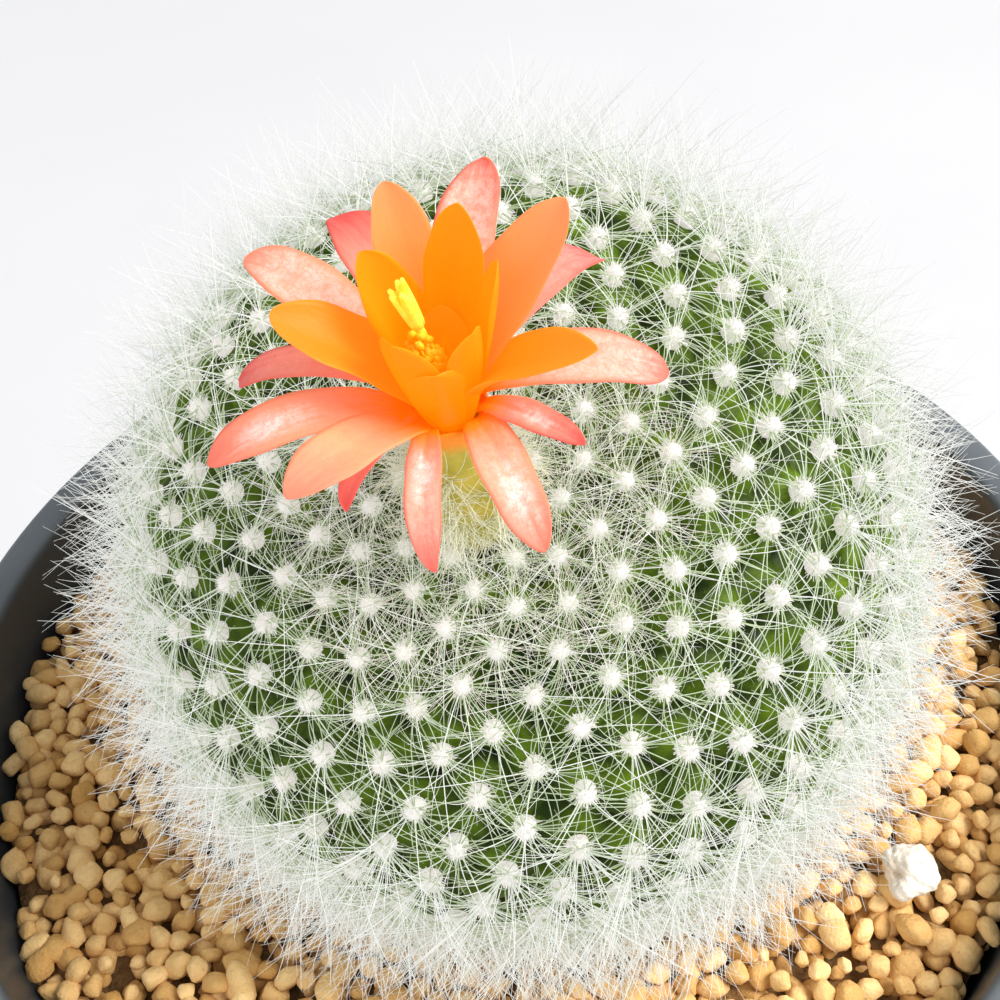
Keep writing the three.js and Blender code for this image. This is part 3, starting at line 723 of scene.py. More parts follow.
def bed_soil():
    """Dark crumbly soil, whose darkness also stands as painted shade in the gaps between the granules."""
    material, tree, sockets = new_material("bed_soil", Roughness=0.95, Specular_IOR_Level=0.2)
    # Partly painted shade: this dark soil shows through the gaps between the granules as their shadow.
    colour = placed(tree, MOTTLE, Scale=700.0, Dark=(0.08, 0.045, 0.018, 1), Light=(0.24, 0.13, 0.05, 1))
    feed(tree, colour["Colour"], sockets["Base Color"])
    roughened(tree, sockets, 0.9, 0.4, Fine=3000.0, Coarse=800.0, Coarse_share=1.2)
    return material


def crumb_mineral():
    """Porous off-white mineral with brown stains."""
    material, tree, sockets = new_material("crumb_mineral", Roughness=0.85)
    lit_within(sockets, 0.2, (1.0, 0.8, 0.6), 0.4)
    colour = placed(tree, MOTTLE, Scale=520.0, Low=0.3, High=0.5,
                    Dark=(0.48, 0.30, 0.13, 1), Light=(0.76, 0.69, 0.60, 1))
    feed(tree, colour["Colour"], sockets["Base Color"])
    roughened(tree, sockets, 0.6, 0.15, Fine=4200.0, Coarse=1500.0, Coarse_share=1.0)
    return material


def ball_skin():
    """Green waxy skin, with painted shade that makes it near black in the grooves, and pale flecks painted as
    tiny highlights.
    """
    material, tree, sockets = new_material("ball_skin", Roughness=0.5, Specular_IOR_Level=0.1)
    lit_within(sockets, 0.15, (0.5, 1.0, 0.25), 0.5)
    patches = placed(tree, MOTTLE, Scale=420.0, Dark=(0.014, 0.032, 0.002, 1), Light=(0.115, 0.195, 0.008, 1))
    # Painted shade: the skin is darkened to near black down in the grooves between the tubercles.
    shadow = ranged(tree, attribute(tree, "groove"), 0.4, 1.0)
    deep = mix_colour(tree, shadow, patches["Colour"], (0.005, 0.011, 0.001, 1))
    # Painted highlights: tiny pale specks added over the green, for the glints on the waxy skin.
    painted_glints = placed(tree, MOTTLE, Scale=3600.0, Low=0.62, High=0.72,
                    Dark=(0, 0, 0, 1), Light=(0.12, 0.18, 0.02, 1))
    feed(tree, mix_colour(tree, 0.5, deep, painted_glints["Colour"], "ADD"), sockets["Base Color"])
    roughened(tree, sockets, 0.35, 0.06, Fine=4600.0, Coarse=1200.0, Coarse_share=0.8)
    return material


def hair_material(name, foot, tip, other, shade, glow, **constants):
    """A glassy or woolly hair, with painted shade that makes it greyer towards the back of the ball.

    Part of its white is a glow, for the light that passes between and through the hairs.
    """
    material, tree, sockets = new_material(name, Emission_Strength=glow, **constants)
    tint = placed(tree, HAIR_TINT, Foot=foot, Tip=tip, Other=other)
    # Painted shade: the hairs are darkened towards the back of the ball.
    behind = ranged(tree, split(tree, object_coords(tree))[1], 0.0, BACK_SHADE_DEPTH * MM, 0.0, BACK_SHADE)
    back_shaded = mix_colour(tree, behind, tint["Colour"], (0, 0, 0, 1))
    feed(tree, dimmed(tree, back_shaded, shade), sockets["Base Color"])
    feed(tree, back_shaded, sockets["Emission Color"])
    return material


def tube_skin():
    """Yellow-green flesh with an orange rim."""
    material, tree, sockets = new_material("tube_skin", Roughness=0.45)
    lit_within(sockets, 0.4, (1.0, 0.9, 0.2), 0.8)
    colour = placed(tree, MOTTLE, Scale=600.0, Dark=(0.42, 0.37, 0.03, 1), Light=(0.60, 0.47, 0.06, 1))
    rim = ranged(tree, attribute(tree, "along"), 0.78, 0.92)
    feed(tree, mix_colour(tree, rim, colour["Colour"], (1.0, 0.30, 0.005, 1)), sockets["Base Color"])
    roughened(tree, sockets, 0.3, 0.1, Fine=3200.0, Coarse=900.0)
    return material


def petal_material(name, shade, glow, **tints):
    """A satin petal; its glow stands for the light that comes through it from behind."""
    material, tree, sockets = new_material(name, Specular_IOR_Level=0.08, Emission_Strength=glow)
    lit_within(sockets, 0.3, (1.0, 0.35, 0.12), 0.45)
    colour = placed(tree, PETAL_COLOUR, **tints)
    feed(tree, dimmed(tree, colour["Colour"], shade), sockets["Base Color"])
    feed(tree, colour["Colour"], sockets["Emission Color"])
    feed(tree, ranged(tree, colour["Streak"], 0.3, 0.7, 0.36, 0.52), sockets["Roughness"])
    bumped(tree, sockets, placed(tree, PETAL_CELLS)["Height"], 0.3, 0.05)
    return material


def pollen_material(name, dark, light):
    """A soft, powdery flower part, kept bright by a painted glow."""
    material, tree, sockets = new_material(name, Roughness=0.6, Emission_Strength=0.22)
    lit_within(sockets, 0.4, (1.0, 0.6, 0.1), 0.3)
    # Painted light: the colour also feeds the emission, a glow that keeps the part bright in its shade.
    colour = placed(tree, MOTTLE, Scale=2600.0, Dark=dark, Light=light)["Colour"]
    feed(tree, colour, sockets["Base Color"])
    feed(tree, colour, sockets["Emission Color"])
    roughened(tree, sockets, 0.5, 0.05, Fine=9000.0, Coarse=3000.0)
    return material


def floor_paper():
    """Pale paper that is lit a little from below, so that shadows on it stay light."""
    material, tree, sockets = new_material("floor_paper", Roughness=0.8, Specular_IOR_Level=0.2,
                                           Emission_Strength=FLOOR_GLOW)
    colour = placed(tree, MOTTLE, Scale=14.0, Dark=(0.18, 0.18, 0.184, 1), Light=(0.20, 0.20, 0.202, 1))
    feed(tree, colour["Colour"], sockets["Base Color"])
    sockets["Emission Color"].default_value = (0.98, 0.98, 1.0, 1)
    return material


# ---------------------------------------------------------------- camera, lights and floor

def make_camera():
    """The camera, looking down at its target from the front, rolled a little."""
    lift = math.radians(CAMERA_ELEVATION)
    back = Vector((0, -math.cos(lift), math.sin(lift)))
    level_right = Vector((1, 0, 0))
    right = swept(level_right, back.cross(level_right), math.radians(CAMERA_ROLL))
    turn = Matrix((right, back.cross(right), back)).transposed().to_4x4()
    lens = bpy.data.cameras.new("camera")
    lens.angle = math.radians(CAMERA_FIELD)
    lens.clip_start = CAMERA_NEAREST * MM
    lens.clip_end = CAMERA_FARTHEST * MM
    camera = in_scene("camera", lens)
    camera.matrix_world = Matrix.Translation((CAMERA_TARGET + back * CAMERA_DISTANCE) * MM) @ turn
    bpy.context.scene.camera = camera


def make_light(name, place, size, power, colour):
    """A square soft box at a place in millimetres, turned to the ball."""
    lamp = bpy.data.lights.new(name, "AREA")
    lamp.size = size * MM
    lamp.energy = power
    lamp.color = colour
    made = in_scene(name, lamp)
    made.location = Vector(place) * MM
    made.rotation_euler = (BALL_CENTRE - Vector(place)).to_track_quat("-Z", "Y").to_euler()


def make_studio():
    """A pale room: an even sky, two soft boxes and a floor of paper."""
    scene = bpy.context.scene
    scene.view_settings.view_transform = "Standard"
    scene.world = bpy.data.worlds.new("studio")
    scene.world.use_nodes = True
    sky = scene.world.node_tree.nodes["Background"].inputs
    sky["Color"].default_value = SKY_COLOUR
    sky["Strength"].default_value = SKY_STRENGTH
    for name, values in LIGHTS.items():
        make_light(name, **values)
    corners = [(x * FLOOR_HALF, y * FLOOR_HALF, 0) for x, y in ((-1, -1), (1, -1), (1, 1), (-1, 1))]
    floor = mesh_object("floor", corners, [(0, 1, 2, 3)])
    floor.data.materials.append(floor_paper())


# ---------------------------------------------------------------- pot

def pot_inside(height):
    """Inner radius of the pot's wall at a height."""
    low = POT_FOOT_RADIUS - POT_WALL
    return low + (POT_MOUTH_RADIUS - low) * (height - POT_FLOOR) / (POT_HEIGHT - POT_FLOOR)


def arc(radius_at, height_at, bend, start, end, steps):
    """Profile points round a small bend, its angles in degrees from level outwards."""
    turns = np.radians(np.linspace(start, end, steps))
    return [(radius_at + bend * math.cos(t), height_at + bend * math.sin(t)) for t in turns]


def pot_profile():
    """Radius and height of the pot's outline, from under its floor over its lip to the middle inside."""
    profile = [(0, POT_FLOOR_UNDERSIDE), (POT_FOOT_INNER, POT_FLOOR_UNDERSIDE), (POT_FOOT_INNER + 0.4, 0.25)]
    profile += [(POT_FOOT_INNER + 0.65, 0.0), (POT_FOOT_RADIUS - 0.5, 0.0)]
    profile += arc(POT_FOOT_RADIUS - POT_FOOT_BEND, POT_FOOT_BEND, POT_FOOT_BEND, -60, 0, 4)
    profile += [(pot_inside(POT_COLLAR) + POT_WALL, POT_COLLAR - 0.15)]
    profile += arc(POT_LIP_RADIUS - 0.95, POT_COLLAR + 0.6, POT_COLLAR_BEND, -80, 0, 5)
    profile += [(POT_LIP_RADIUS - 0.3, POT_HEIGHT - 2.5)]
    profile += arc(POT_LIP_RADIUS - POT_LIP_BEND, POT_HEIGHT - 0.8, POT_LIP_BEND, -10, 88, 8)
    profile += arc(POT_MOUTH_RADIUS + POT_MOUTH_BEND, POT_HEIGHT - 0.95, POT_MOUTH_BEND, 96, 172, 6)
    profile += [(pot_inside(POT_FLOOR + 2), POT_FLOOR + 2), (pot_inside(POT_FLOOR) - 0.5, POT_FLOOR + 0.5)]
    return profile + [(pot_inside(POT_FLOOR) - 1.5, POT_FLOOR), (0, POT_FLOOR)]


def drain_drill():
    """The pegs that cut the drain holes: one in the middle and a ring round it."""
    low, high, sides = 0.5, 6.0, 32
    holes = [(0.0, 0.0, CENTRE_DRAIN_RADIUS)]
    for i in range(DRAIN_COUNT):
        turn = 2 * math.pi * i / DRAIN_COUNT
        holes.append((DRAIN_RING * math.cos(turn), DRAIN_RING * math.sin(turn), DRAIN_RADIUS))
    pegs = []
    for x, y, radius in holes:
        points, faces = loft([(0, 0, low), (0, radius, low), (0, radius, high), (0, 0, high)], sides)
        pegs.append(([(px + x, py + y, pz) for px, py, pz in points], faces, {}))
    points, faces, _ = joined(pegs)
    return outward_faces(mesh_object("drill", points, faces))


def make_pot():
    """The pot, turned from its profile, with its drain holes cut."""
    rings = [(0, radius, height) for radius, height in pot_profile()]
    shell = outward_faces(mesh_object("pot_shell", *loft(rings, POT_SIDES)))
    drill = drain_drill()
    cut = shell.modifiers.new("drains", "BOOLEAN")
    cut.object = drill
    cut.operation = "DIFFERENCE"
    cut.solver = "EXACT"
    flattened(shell)
    bpy.data.objects.remove(drill)
    return dressed(shell, pot_plastic(), "pot_plastic", "pot")


# ---------------------------------------------------------------- soil bed, granules and the white crumb

def make_bed():
    """The filling under the loose granules, with the plain hole that the ball and its root stand in."""
    bottom = POT_FLOOR + GAP
    clear = BALL_RADIUS + GAP
    shaft = ROOT_NECK_RADIUS + GAP
    top = BED_LEVEL
    centre = BALL_CENTRE.x
    rim = pot_inside(top) - BED_PLAY
    slant = bottom + 2
    rings = [(0, 0, bottom), (0, pot_inside(bottom) - 2.2, bottom)]
    rings += [(0, pot_inside(slant) - BED_PLAY, slant), (0, rim, top)]
    edge = math.sqrt(clear ** 2 - (BALL_CENTRE.z - top) ** 2)
    for share in np.linspace(0.05, 1.0, 14):
        rings.append((centre * share, rim * (1 - share) + edge * share, top))
    under = BALL_CENTRE.z - math.sqrt(clear ** 2 - shaft ** 2)
    for height in np.linspace(top - 0.8, under, 7):
        rings.append((centre, math.sqrt(clear ** 2 - (BALL_CENTRE.z - height) ** 2), height))
    rings += [(centre, shaft, ROOT_SHOULDER), (centre, ROOT_TIP_RADIUS + GAP, ROOT_BOTTOM - GAP)]
    rings += [(centre, 0, ROOT_BOTTOM - GAP)]
    points, faces = loft(rings, 96)
    draw = np.random.default_rng(3)
    lumps = draw.uniform(-0.35, 0.25, len(points))
    points = [(x, y, z + (lump if abs(z - top) < 1e-6 else 0)) for (x, y, z), lump in zip(points, lumps)]
    bed = outward_faces(mesh_object("soil_bed", points, faces))
    return dressed(bed, bed_soil(), "clay_granules", "soil")


def granule_shape(seed):
    """One worn grain: the hull of a few points scattered round it, with its edges rubbed away."""
    draw = np.random.default_rng(seed)
    corners = 12
    work = bmesh.new()
    for k in range(corners):
        z = 1 - 2 * (k + 0.5) / corners
        turn = k * GOLDEN + draw.uniform(-0.35, 0.35)
        flat = math.sqrt(1 - z * z)
        size = draw.uniform(0.82, 1.12)
        work.verts.new((flat * math.cos(turn) * size, flat * math.sin(turn) * size, z * size))
    bmesh.ops.convex_hull(work, input=work.verts)
    bmesh.ops.dissolve_limit(work, angle_limit=math.radians(16), verts=work.verts, edges=work.edges)
    bmesh.ops.bevel(work, geom=work.edges, offset=0.14, segments=1, affect="EDGES", clamp_overlap=True)
    bmesh.ops.triangulate(work, faces=work.faces)
    bmesh.ops.recalc_face_normals(work, faces=work.faces)
    stretch = Vector((draw.uniform(1.0, 1.4), draw.uniform(0.85, 1.05), draw.uniform(0.7, 0.95)))
    for vertex in work.verts:
        vertex.co = vertex.co * stretch
    mesh = worked_mesh(f"granule_shape_{seed}", work)
    return bpy.data.objects.new(mesh.name, mesh)


def granule_tree():
    """Scatters grains over a surface, each turned and sized by a seeded draw."""
    tree, given, out = new_tree("granule_scatter", {
        "Shapes": "Collection", "Spacing": "Float", "Smallest": "Float", "Largest": "Float", "Lift": "Float",
        "Seed": "Int", "Material": "Material",
    })
    # The density is in points per square metre, and more than the spacing lets stand.
    points = add_node(tree, "GeometryNodeDistributePointsOnFaces", {
        "Mesh": given["Geometry"], "Distance Min": given["Spacing"], "Density Max": 3.0e6,
        "Seed": given["Seed"],
    }, distribute_method="POISSON").outputs[0]
    lift = drawn(tree, calc(tree, "MULTIPLY", given["Lift"], -1.0), given["Lift"], 11)
    lifted = changed(tree, "SetPosition", points, Offset=combined(tree, z=lift))
    toned = stored(tree, lifted, "tone", drawn(tree, 0.0, 1.0, 12))
    shapes = add_node(tree, "GeometryNodeCollectionInfo", {
        "Collection": given["Shapes"], "Separate Children": True, "Reset Children": True,
    })
    turn = add_node(tree, "FunctionNodeRandomValue", {
        0: (-0.6, -0.6, 0.0), 1: (0.6, 0.6, 2 * math.pi), "Seed": 13,
    }, data_type="FLOAT_VECTOR").outputs[0]
    rotation = add_node(tree, "FunctionNodeEulerToRotation", {0: turn}).outputs[0]
    size = drawn(tree, given["Smallest"], given["Largest"], 14)
    grains = add_node(tree, "GeometryNodeInstanceOnPoints", {
        "Points": toned, "Instance": shapes.outputs[0], "Pick Instance": True,
        "Rotation": rotation, "Scale": size,
    }).outputs[0]
    return ended(tree, given, out, changed(tree, "RealizeInstances", grains))


def scatter_ring(height, inner, outer, bare):
    """A flat ring between the ball and the pot's wall to scatter on, with a bare spot for the crumb."""
    steps, sides = 20, 96
    crumb = Vector((CRUMB_CENTRE[0], CRUMB_CENTRE[1], height))
    points, faces = [], []
    for i in range(steps + 1):
        share = i / steps
        radius = inner + (outer - inner) * share
        for k in range(sides):
            turn = 2 * math.pi * k / sides
            x = BALL_CENTRE.x * (1 - share) + radius * math.cos(turn)
            points.append((x, radius * math.sin(turn), height))
    for i in range(steps):
        for k in range(sides):
            n = (k + 1) % sides
            face = (i * sides + k, (i + 1) * sides + k, (i + 1) * sides + n, i * sides + n)
            if (Vector(points[face[0]]) - crumb).length > bare:
                faces.append(face)
    return bare_mesh(mesh_object("scatter_ring", points, faces))


def make_granules():
    """Two layers of loose granules; the crumb lies on the lower one."""
    material = granule_clay()
    shapes = bpy.data.collections.new("granule_shapes")
    for seed in GRANULE_SEEDS:
        shapes.objects.link(granule_shape(seed))
    tree = granule_tree()
    smallest, largest = (share * GRANULE_RADIUS * MM for share in GRANULE_SPREAD)
    ball_play, wall_play = 0.75, 0.6
    # Name, height, how far grains lie above or below it, seed and bare spot of each layer.
    layers = [
        ("granules_top", SOIL_LEVEL - 0.2, 0.45, 7, CRUMB_BARE),
        ("granules_under", SOIL_LEVEL - 1.25, 0.3, 8, 0.0),
    ]
    for name, height, lift, seed, bare in layers:
        drop = BALL_CENTRE.z - (height + 1.0)
        inner = math.sqrt(BALL_RADIUS ** 2 - drop ** 2) + ball_play
        ring = scatter_ring(height, inner, pot_inside(height) - wall_play, bare)
        made = grown(name, ring, tree, shapes=shapes, spacing=GRANULE_GAP * MM, smallest=smallest,
                     largest=largest, lift=lift * MM, seed=seed, material=material)
        dressed(made, material, "clay_granules", "soil")
    for shape in list(shapes.objects):
        bpy.data.objects.remove(shape)
    bpy.data.collections.remove(shapes)


def make_crumb():
    """A porous white crumb, lumpy and pitted, with a brown hollow on its left and a lobe at its front."""
    work = bmesh.new()
    bmesh.ops.create_icosphere(work, subdivisions=5, radius=1.0)
    draw = np.random.default_rng(19)
    pits = draw.normal(size=(30, 3))
    pits /= np.linalg.norm(pits, axis=1)[:, None]
    depths = draw.uniform(0.03, 0.12, len(pits))
    widths = draw.uniform(0.10, 0.24, len(pits))
    hollow = np.array(Vector((-0.62, -0.30, 0.55)).normalized())
    lobe = np.array(Vector((-0.55, -0.75, 0.1)).normalized())
    for vertex in work.verts:
        x, y, z = vertex.co
        here = np.array((x, y, z))
        lump = 1 + 0.12 * math.sin(3.1 * x + 1) * math.cos(2.7 * y) + 0.08 * math.sin(4.3 * z + x)
        lump += 0.035 * math.sin(9.1 * x + 4 * y) * math.sin(8.3 * y + 5 * z)
        lump += 0.02 * math.sin(17 * z + 13 * x)
        away = np.linalg.norm(pits - here, axis=1)
        lump -= float(np.sum(depths * np.exp(-((away / widths) ** 2))))
        lump -= 0.34 * math.exp(-(np.linalg.norm(hollow - here) / 0.36) ** 2)
        lump += 0.24 * math.exp(-(np.linalg.norm(lobe - here) / 0.42) ** 2)
        axes = zip(vertex.co, CRUMB_RADII, CRUMB_CENTRE)
        vertex.co = Vector([c * lump * radius + middle for c, radius, middle in axes]) * MM
    crumb = in_scene("white_crumb", worked_mesh("white_crumb", work))
    return dressed(crumb, crumb_mineral(), "white_mineral", "perlite_crumb")


# ---------------------------------------------------------------- the ball: areoles, skin and root

TIP = direction(TIP_TILT, TIP_AZIMUTH)
SEAT = BALL_CENTRE + direction(SEAT_TILT, SEAT_AZIMUTH) * (BALL_RADIUS - GAP)


def cell_area(polar):
    """Skin area of one areole's cell at a polar angle from the growing tip."""
    return OLD_CELL - (OLD_CELL - YOUNG_CELL) * math.exp(-((polar / CELL_WIDTH) ** 2))


def areole_place(site):
    """The peak of an areole's tubercle, which is sunk a little round the growing tip."""
    facing, polar = site
    sunken = 1 - TIP_SINK * math.exp(-((polar / TIP_SINK_WIDTH) ** 2))
    return BALL_CENTRE + facing * (BALL_RADIUS * sunken)


def areole_sites():
    """Areoles on a golden-angle spiral whose cap grows by one cell at each step: (direction, polar angle)."""
    east, north = across(TIP)
    sphere = 2 * math.pi * BALL_RADIUS ** 2
    sites = []
    cap = 1.0
    while True:
        here = cell_area(math.acos(max(cap, -1)))
        cap -= here / sphere
        if cap < -1:
            return sites
        middle = min(1.0, cap + 0.5 * here / sphere)
        flat = math.sqrt(1 - middle ** 2)
        toward = TIP * middle + swept(east, north, len(sites) * GOLDEN) * flat
        sites.append((toward.normalized(), math.acos(middle)))


def hair_points(name, places, toward, **extra):
    """Loose points that hairs grow from, with their numbers, the ways they face and two ways across."""
    frames = [across(facing) for facing in toward]
    east = [first for first, _ in frames]
    north = [second for _, second in frames]
    numbers = range(len(places))
    made = mesh_object(name, places, [], toward=toward, east=east, north=north, number=numbers, **extra)
    return bare_mesh(made)


def areole_points(name, sites):
    """The areoles as loose points, with their cells' widths and how much narrower than old ones they are."""
    areas = [cell_area(polar) for _, polar in sites]
    spacing = [math.sqrt(area) * MM for area in areas]
    youth = [1 - math.sqrt(area / OLD_CELL) for area in areas]
    toward = [facing for facing, _ in sites]
    return hair_points(name, [areole_place(site) for site in sites], toward, spacing=spacing, youth=youth)


def skin_tree():
    """A fine ball whose surface falls away from every areole into the grooves between them."""
    tree, given, out = new_tree("tubercled_skin", {
        "Centre": "Vector", "Radius": "Float", "Tip axis": "Vector", "Sink": "Float", "Sink width": "Float",
        "Groove depth": "Float", "Corner": "Float", "Wobble": "Float", "Fineness": "Int",
        "Material": "Material",
    })
    ball = icosphere(tree, given["Fineness"])
    facing = vector_calc(tree, "NORMALIZE", add_node(tree, "GeometryNodeInputPosition").outputs[0])
    place = vector_calc(tree, "ADD", given["Centre"], scaled(tree, facing, given["Radius"]))
    nearest = add_node(tree, "GeometryNodeSampleNearest", {
        "Geometry": given["Geometry"], "Sample Position": place,
    }, domain="POINT").outputs[0]
    samples = {}
    for name, kind in (("toward", "FLOAT_VECTOR"), ("spacing", "FLOAT")):
        samples[name] = add_node(tree, "GeometryNodeSampleIndex", {
            "Geometry": given["Geometry"], "Value": named(tree, name, kind), "Index": nearest,
        }, data_type=kind, domain="POINT").outputs[0]
    # The groove deepens from the areole outwards, past the middle of a cell's side to its corners.
    away = product(tree, vector_calc(tree, "DISTANCE", facing, samples["toward"]), given["Radius"])
    share = calc(tree, "DIVIDE", away, product(tree, samples["spacing"], given["Corner"]))
    groove = calc(tree, "POWER", calc(tree, "MINIMUM", share, 1.25), 1.7)
    depth = product(tree, samples["spacing"], given["Groove depth"], groove)
    # The ball is sunk round its growing tip.
    polar = calc(tree, "ARCCOSINE", vector_calc(tree, "DOT_PRODUCT", facing, given["Tip axis"]))
    squared = calc(tree, "POWER", calc(tree, "DIVIDE", polar, given["Sink width"]), 2.0)
    bell = calc(tree, "EXPONENT", product(tree, squared, -1.0))
    rest = product(tree, given["Radius"], one_less(tree, given["Sink"], bell))
    wobble = product(tree, noise(tree, facing, 26.0, 3.0), given["Wobble"])
    radius = calc(tree, "SUBTRACT", rest, calc(tree, "ADD", depth, wobble))
    target = vector_calc(tree, "ADD", given["Centre"], scaled(tree, facing, radius))
    moved = changed(tree, "SetPosition", stored(tree, ball, "groove", groove), Position=target)
    smooth = changed(tree, "SetShadeSmooth", moved)
    return ended(tree, given, out, changed(tree, "RealizeInstances", smooth))


def pad_tree():
    """A domed felt cushion at every areole."""
    tree, given, out = new_tree("wool_pads", {
        "Width": "Float", "Height": "Float", "Youth shrink": "Float", "Material": "Material",
    })
    shape = icosphere(tree, 2)
    size = one_less(tree, named(tree, "youth"), given["Youth shrink"])
    wide = product(tree, given["Width"], size)
    scale = combined(tree, wide, wide, product(tree, given["Height"], size))
    rotation = facing_along(tree, named(tree, "toward", "FLOAT_VECTOR"))
    toned = stored(tree, given["Geometry"], "tone", drawn(tree, 0.0, 1.0, 5))
    whole = stored(tree, planted(tree, toned, shape, rotation, scale), "along", 0.5)
    return ended(tree, given, out, changed(tree, "SetShadeSmooth", whole))


def make_skin(sites):
    """The grooved skin of the whole ball."""
    skin = ball_skin()
    body = grown("cactus_skin", areole_points("areoles_all", sites), skin_tree(), centre=BALL_CENTRE * MM,
                 radius=BALL_RADIUS * MM, tip_axis=TIP, sink=TIP_SINK, sink_width=TIP_SINK_WIDTH,
                 groove_depth=TUBERCLE_DEPTH, corner=HEX_CORNER, wobble=SKIN_WOBBLE * MM, fineness=7,
                 material=skin)
    dressed(body, skin, "cactus_skin", "cactus")


def make_root():
    """The buried neck and tapering root."""
    centre = BALL_CENTRE.x
    rings = [(centre, 0, ROOT_BOTTOM), (centre, ROOT_TIP_RADIUS, ROOT_BOTTOM + 0.4)]
    for share in np.linspace(0.1, 1.0, 12):
        radius = ROOT_TIP_RADIUS + (ROOT_NECK_RADIUS - ROOT_TIP_RADIUS) * share
        rings.append((centre, radius, ROOT_BOTTOM + (ROOT_SHOULDER - ROOT_BOTTOM) * share))
    rings += [(centre, ROOT_NECK_RADIUS, ROOT_TOP), (centre, 0, ROOT_TOP)]
    root = outward_faces(mesh_object("cactus_root", *loft(rings, 48)))
    return dressed(root, bed_soil(), "cactus_skin", "cactus")


# ---------------------------------------------------------------- spines, wool and hairs

def hair_tree():
    """Grows a bundle of curved, tapered hairs at every point, and keeps them above a level."""
    tree, given, out = new_tree("hair_bundles", {
        "Each": "Int", "Rings": "Int", "Seed": "Int", "Foot spread": "Float", "Foot lift": "Float",
        "Shortest": "Float", "Longest": "Float", "Least lean": "Float", "Most lean": "Float",
        "Thickness": "Float", "Tip share": "Float", "Droop": "Float", "Sway": "Float", "Rise": "Float",
        "Lowest": "Float", "Youth shrink": "Float", "Material": "Material",
    })
    copies = add_node(tree, "GeometryNodeDuplicateElements", {
        "Geometry": given["Geometry"], "Amount": given["Each"],
    }, domain="POINT")
    toward = named(tree, "toward", "FLOAT_VECTOR")
    east = named(tree, "east", "FLOAT_VECTOR")
    north = named(tree, "north", "FLOAT_VECTOR")
    number = named(tree, "number")
    youth = named(tree, "youth")
    seeds = [calc(tree, "ADD", given["Seed"], float(k)) for k in range(1, 9)]
    # Where each hair heads, how far it leans and how long it is.
    start = drawn(tree, 0.0, 2 * math.pi, given["Seed"], number)
    step = calc(tree, "MULTIPLY_ADD", copies.outputs[1], GOLDEN, start)
    heading = calc(tree, "ADD", step, drawn(tree, -0.3, 0.3, seeds[0]))
    outward = weighted(tree, east, calc(tree, "COSINE", heading), north, calc(tree, "SINE", heading))
    reach = calc(tree, "SQRT", drawn(tree, 0.0, 1.0, seeds[1]))
    chance = drawn(tree, 0.0, 1.0, seeds[2])
    lean = ranged(tree, chance, 0.0, 1.0, given["Least lean"], given["Most lean"])
    size = one_less(tree, youth, given["Youth shrink"])
    length = product(tree, size, drawn(tree, given["Shortest"], given["Longest"], seeds[3]))
    aim = weighted(tree, toward, calc(tree, "COSINE", lean), outward, calc(tree, "SINE", lean))
    spread = product(tree, given["Foot spread"], reach, size)
    foot = weighted(tree, outward, spread, toward, given["Foot lift"])
    # How its tip is pulled: down by its weight, aside by the comb, and up on the back of the ball.
    fall = product(tree, length, given["Droop"], drawn(tree, -1.6, -0.4, seeds[4]))
    combed = calc(tree, "ADD", drawn(tree, -0.5, 0.5, seeds[5]), drawn(tree, -0.5, 0.5, seeds[7], number))
    drift = product(tree, length, given["Sway"], combed)
    aside = vector_calc(tree, "CROSS_PRODUCT", toward, outward)
    curl = weighted(tree, toward, fall, aside, drift)
    behind = ranged(tree, vector_calc(tree, "DOT_PRODUCT", toward, (0.0, 1.0, 0.0)), 0.0, 0.7)
    climb = product(tree, length, given["Rise"], behind)
    bend = vector_calc(tree, "ADD", curl, combined(tree, z=climb))
    at_foot = changed(tree, "SetPosition", copies.outputs[0], Offset=foot)
    bent = stored(tree, at_foot, "bend", bend, "FLOAT_VECTOR")
    toned = stored(tree, bent, "tone", drawn(tree, 0.0, 1.0, seeds[6]))
    # One straight hair of unit length, copied to every foot.
    line = add_node(tree, "GeometryNodeCurvePrimitiveLine", {"Start": (0, 0, 0), "End": (0, 0, 1)}).outputs[0]
    curve = add_node(tree, "GeometryNodeResampleCurve", {"Curve": line, "Count": given["Rings"]}).outputs[0]
    factor = add_node(tree, "GeometryNodeSplineParameter").outputs[0]
    marked = stored(tree, curve, "along", factor)
    taper = one_less(tree, calc(tree, "POWER", factor, 1.4), calc(tree, "SUBTRACT", 1.0, given["Tip share"]))
    ring = add_node(tree, "GeometryNodeCurvePrimitiveCircle", {"Resolution": 3, "Radius": 1.0}).outputs[0]
    hair = add_node(tree, "GeometryNodeCurveToMesh", {
        "Curve": marked, "Profile Curve": ring, "Scale": taper, "Fill Caps": True,
    }).outputs[0]
    girth = product(tree, given["Thickness"], calc(tree, "SUBTRACT", 1.0, youth))
    hairs = planted(tree, toned, hair, facing_along(tree, aim), combined(tree, girth, girth, length))
    # The hairs are bent and then held above the lowest level.
    along = named(tree, "along")
    pull = scaled(tree, named(tree, "bend", "FLOAT_VECTOR"), product(tree, along, along))
    curved = changed(tree, "SetPosition", hairs, Offset=pull)
    here = split(tree, add_node(tree, "GeometryNodeInputPosition").outputs[0])
    height = calc(tree, "SMOOTH_MAX", here[2], given["Lowest"], 0.5 * MM)
    above = changed(tree, "SetPosition", curved, Position=combined(tree, here[0], here[1], height))
    return ended(tree, given, out, changed(tree, "SetShadeSmooth", above))


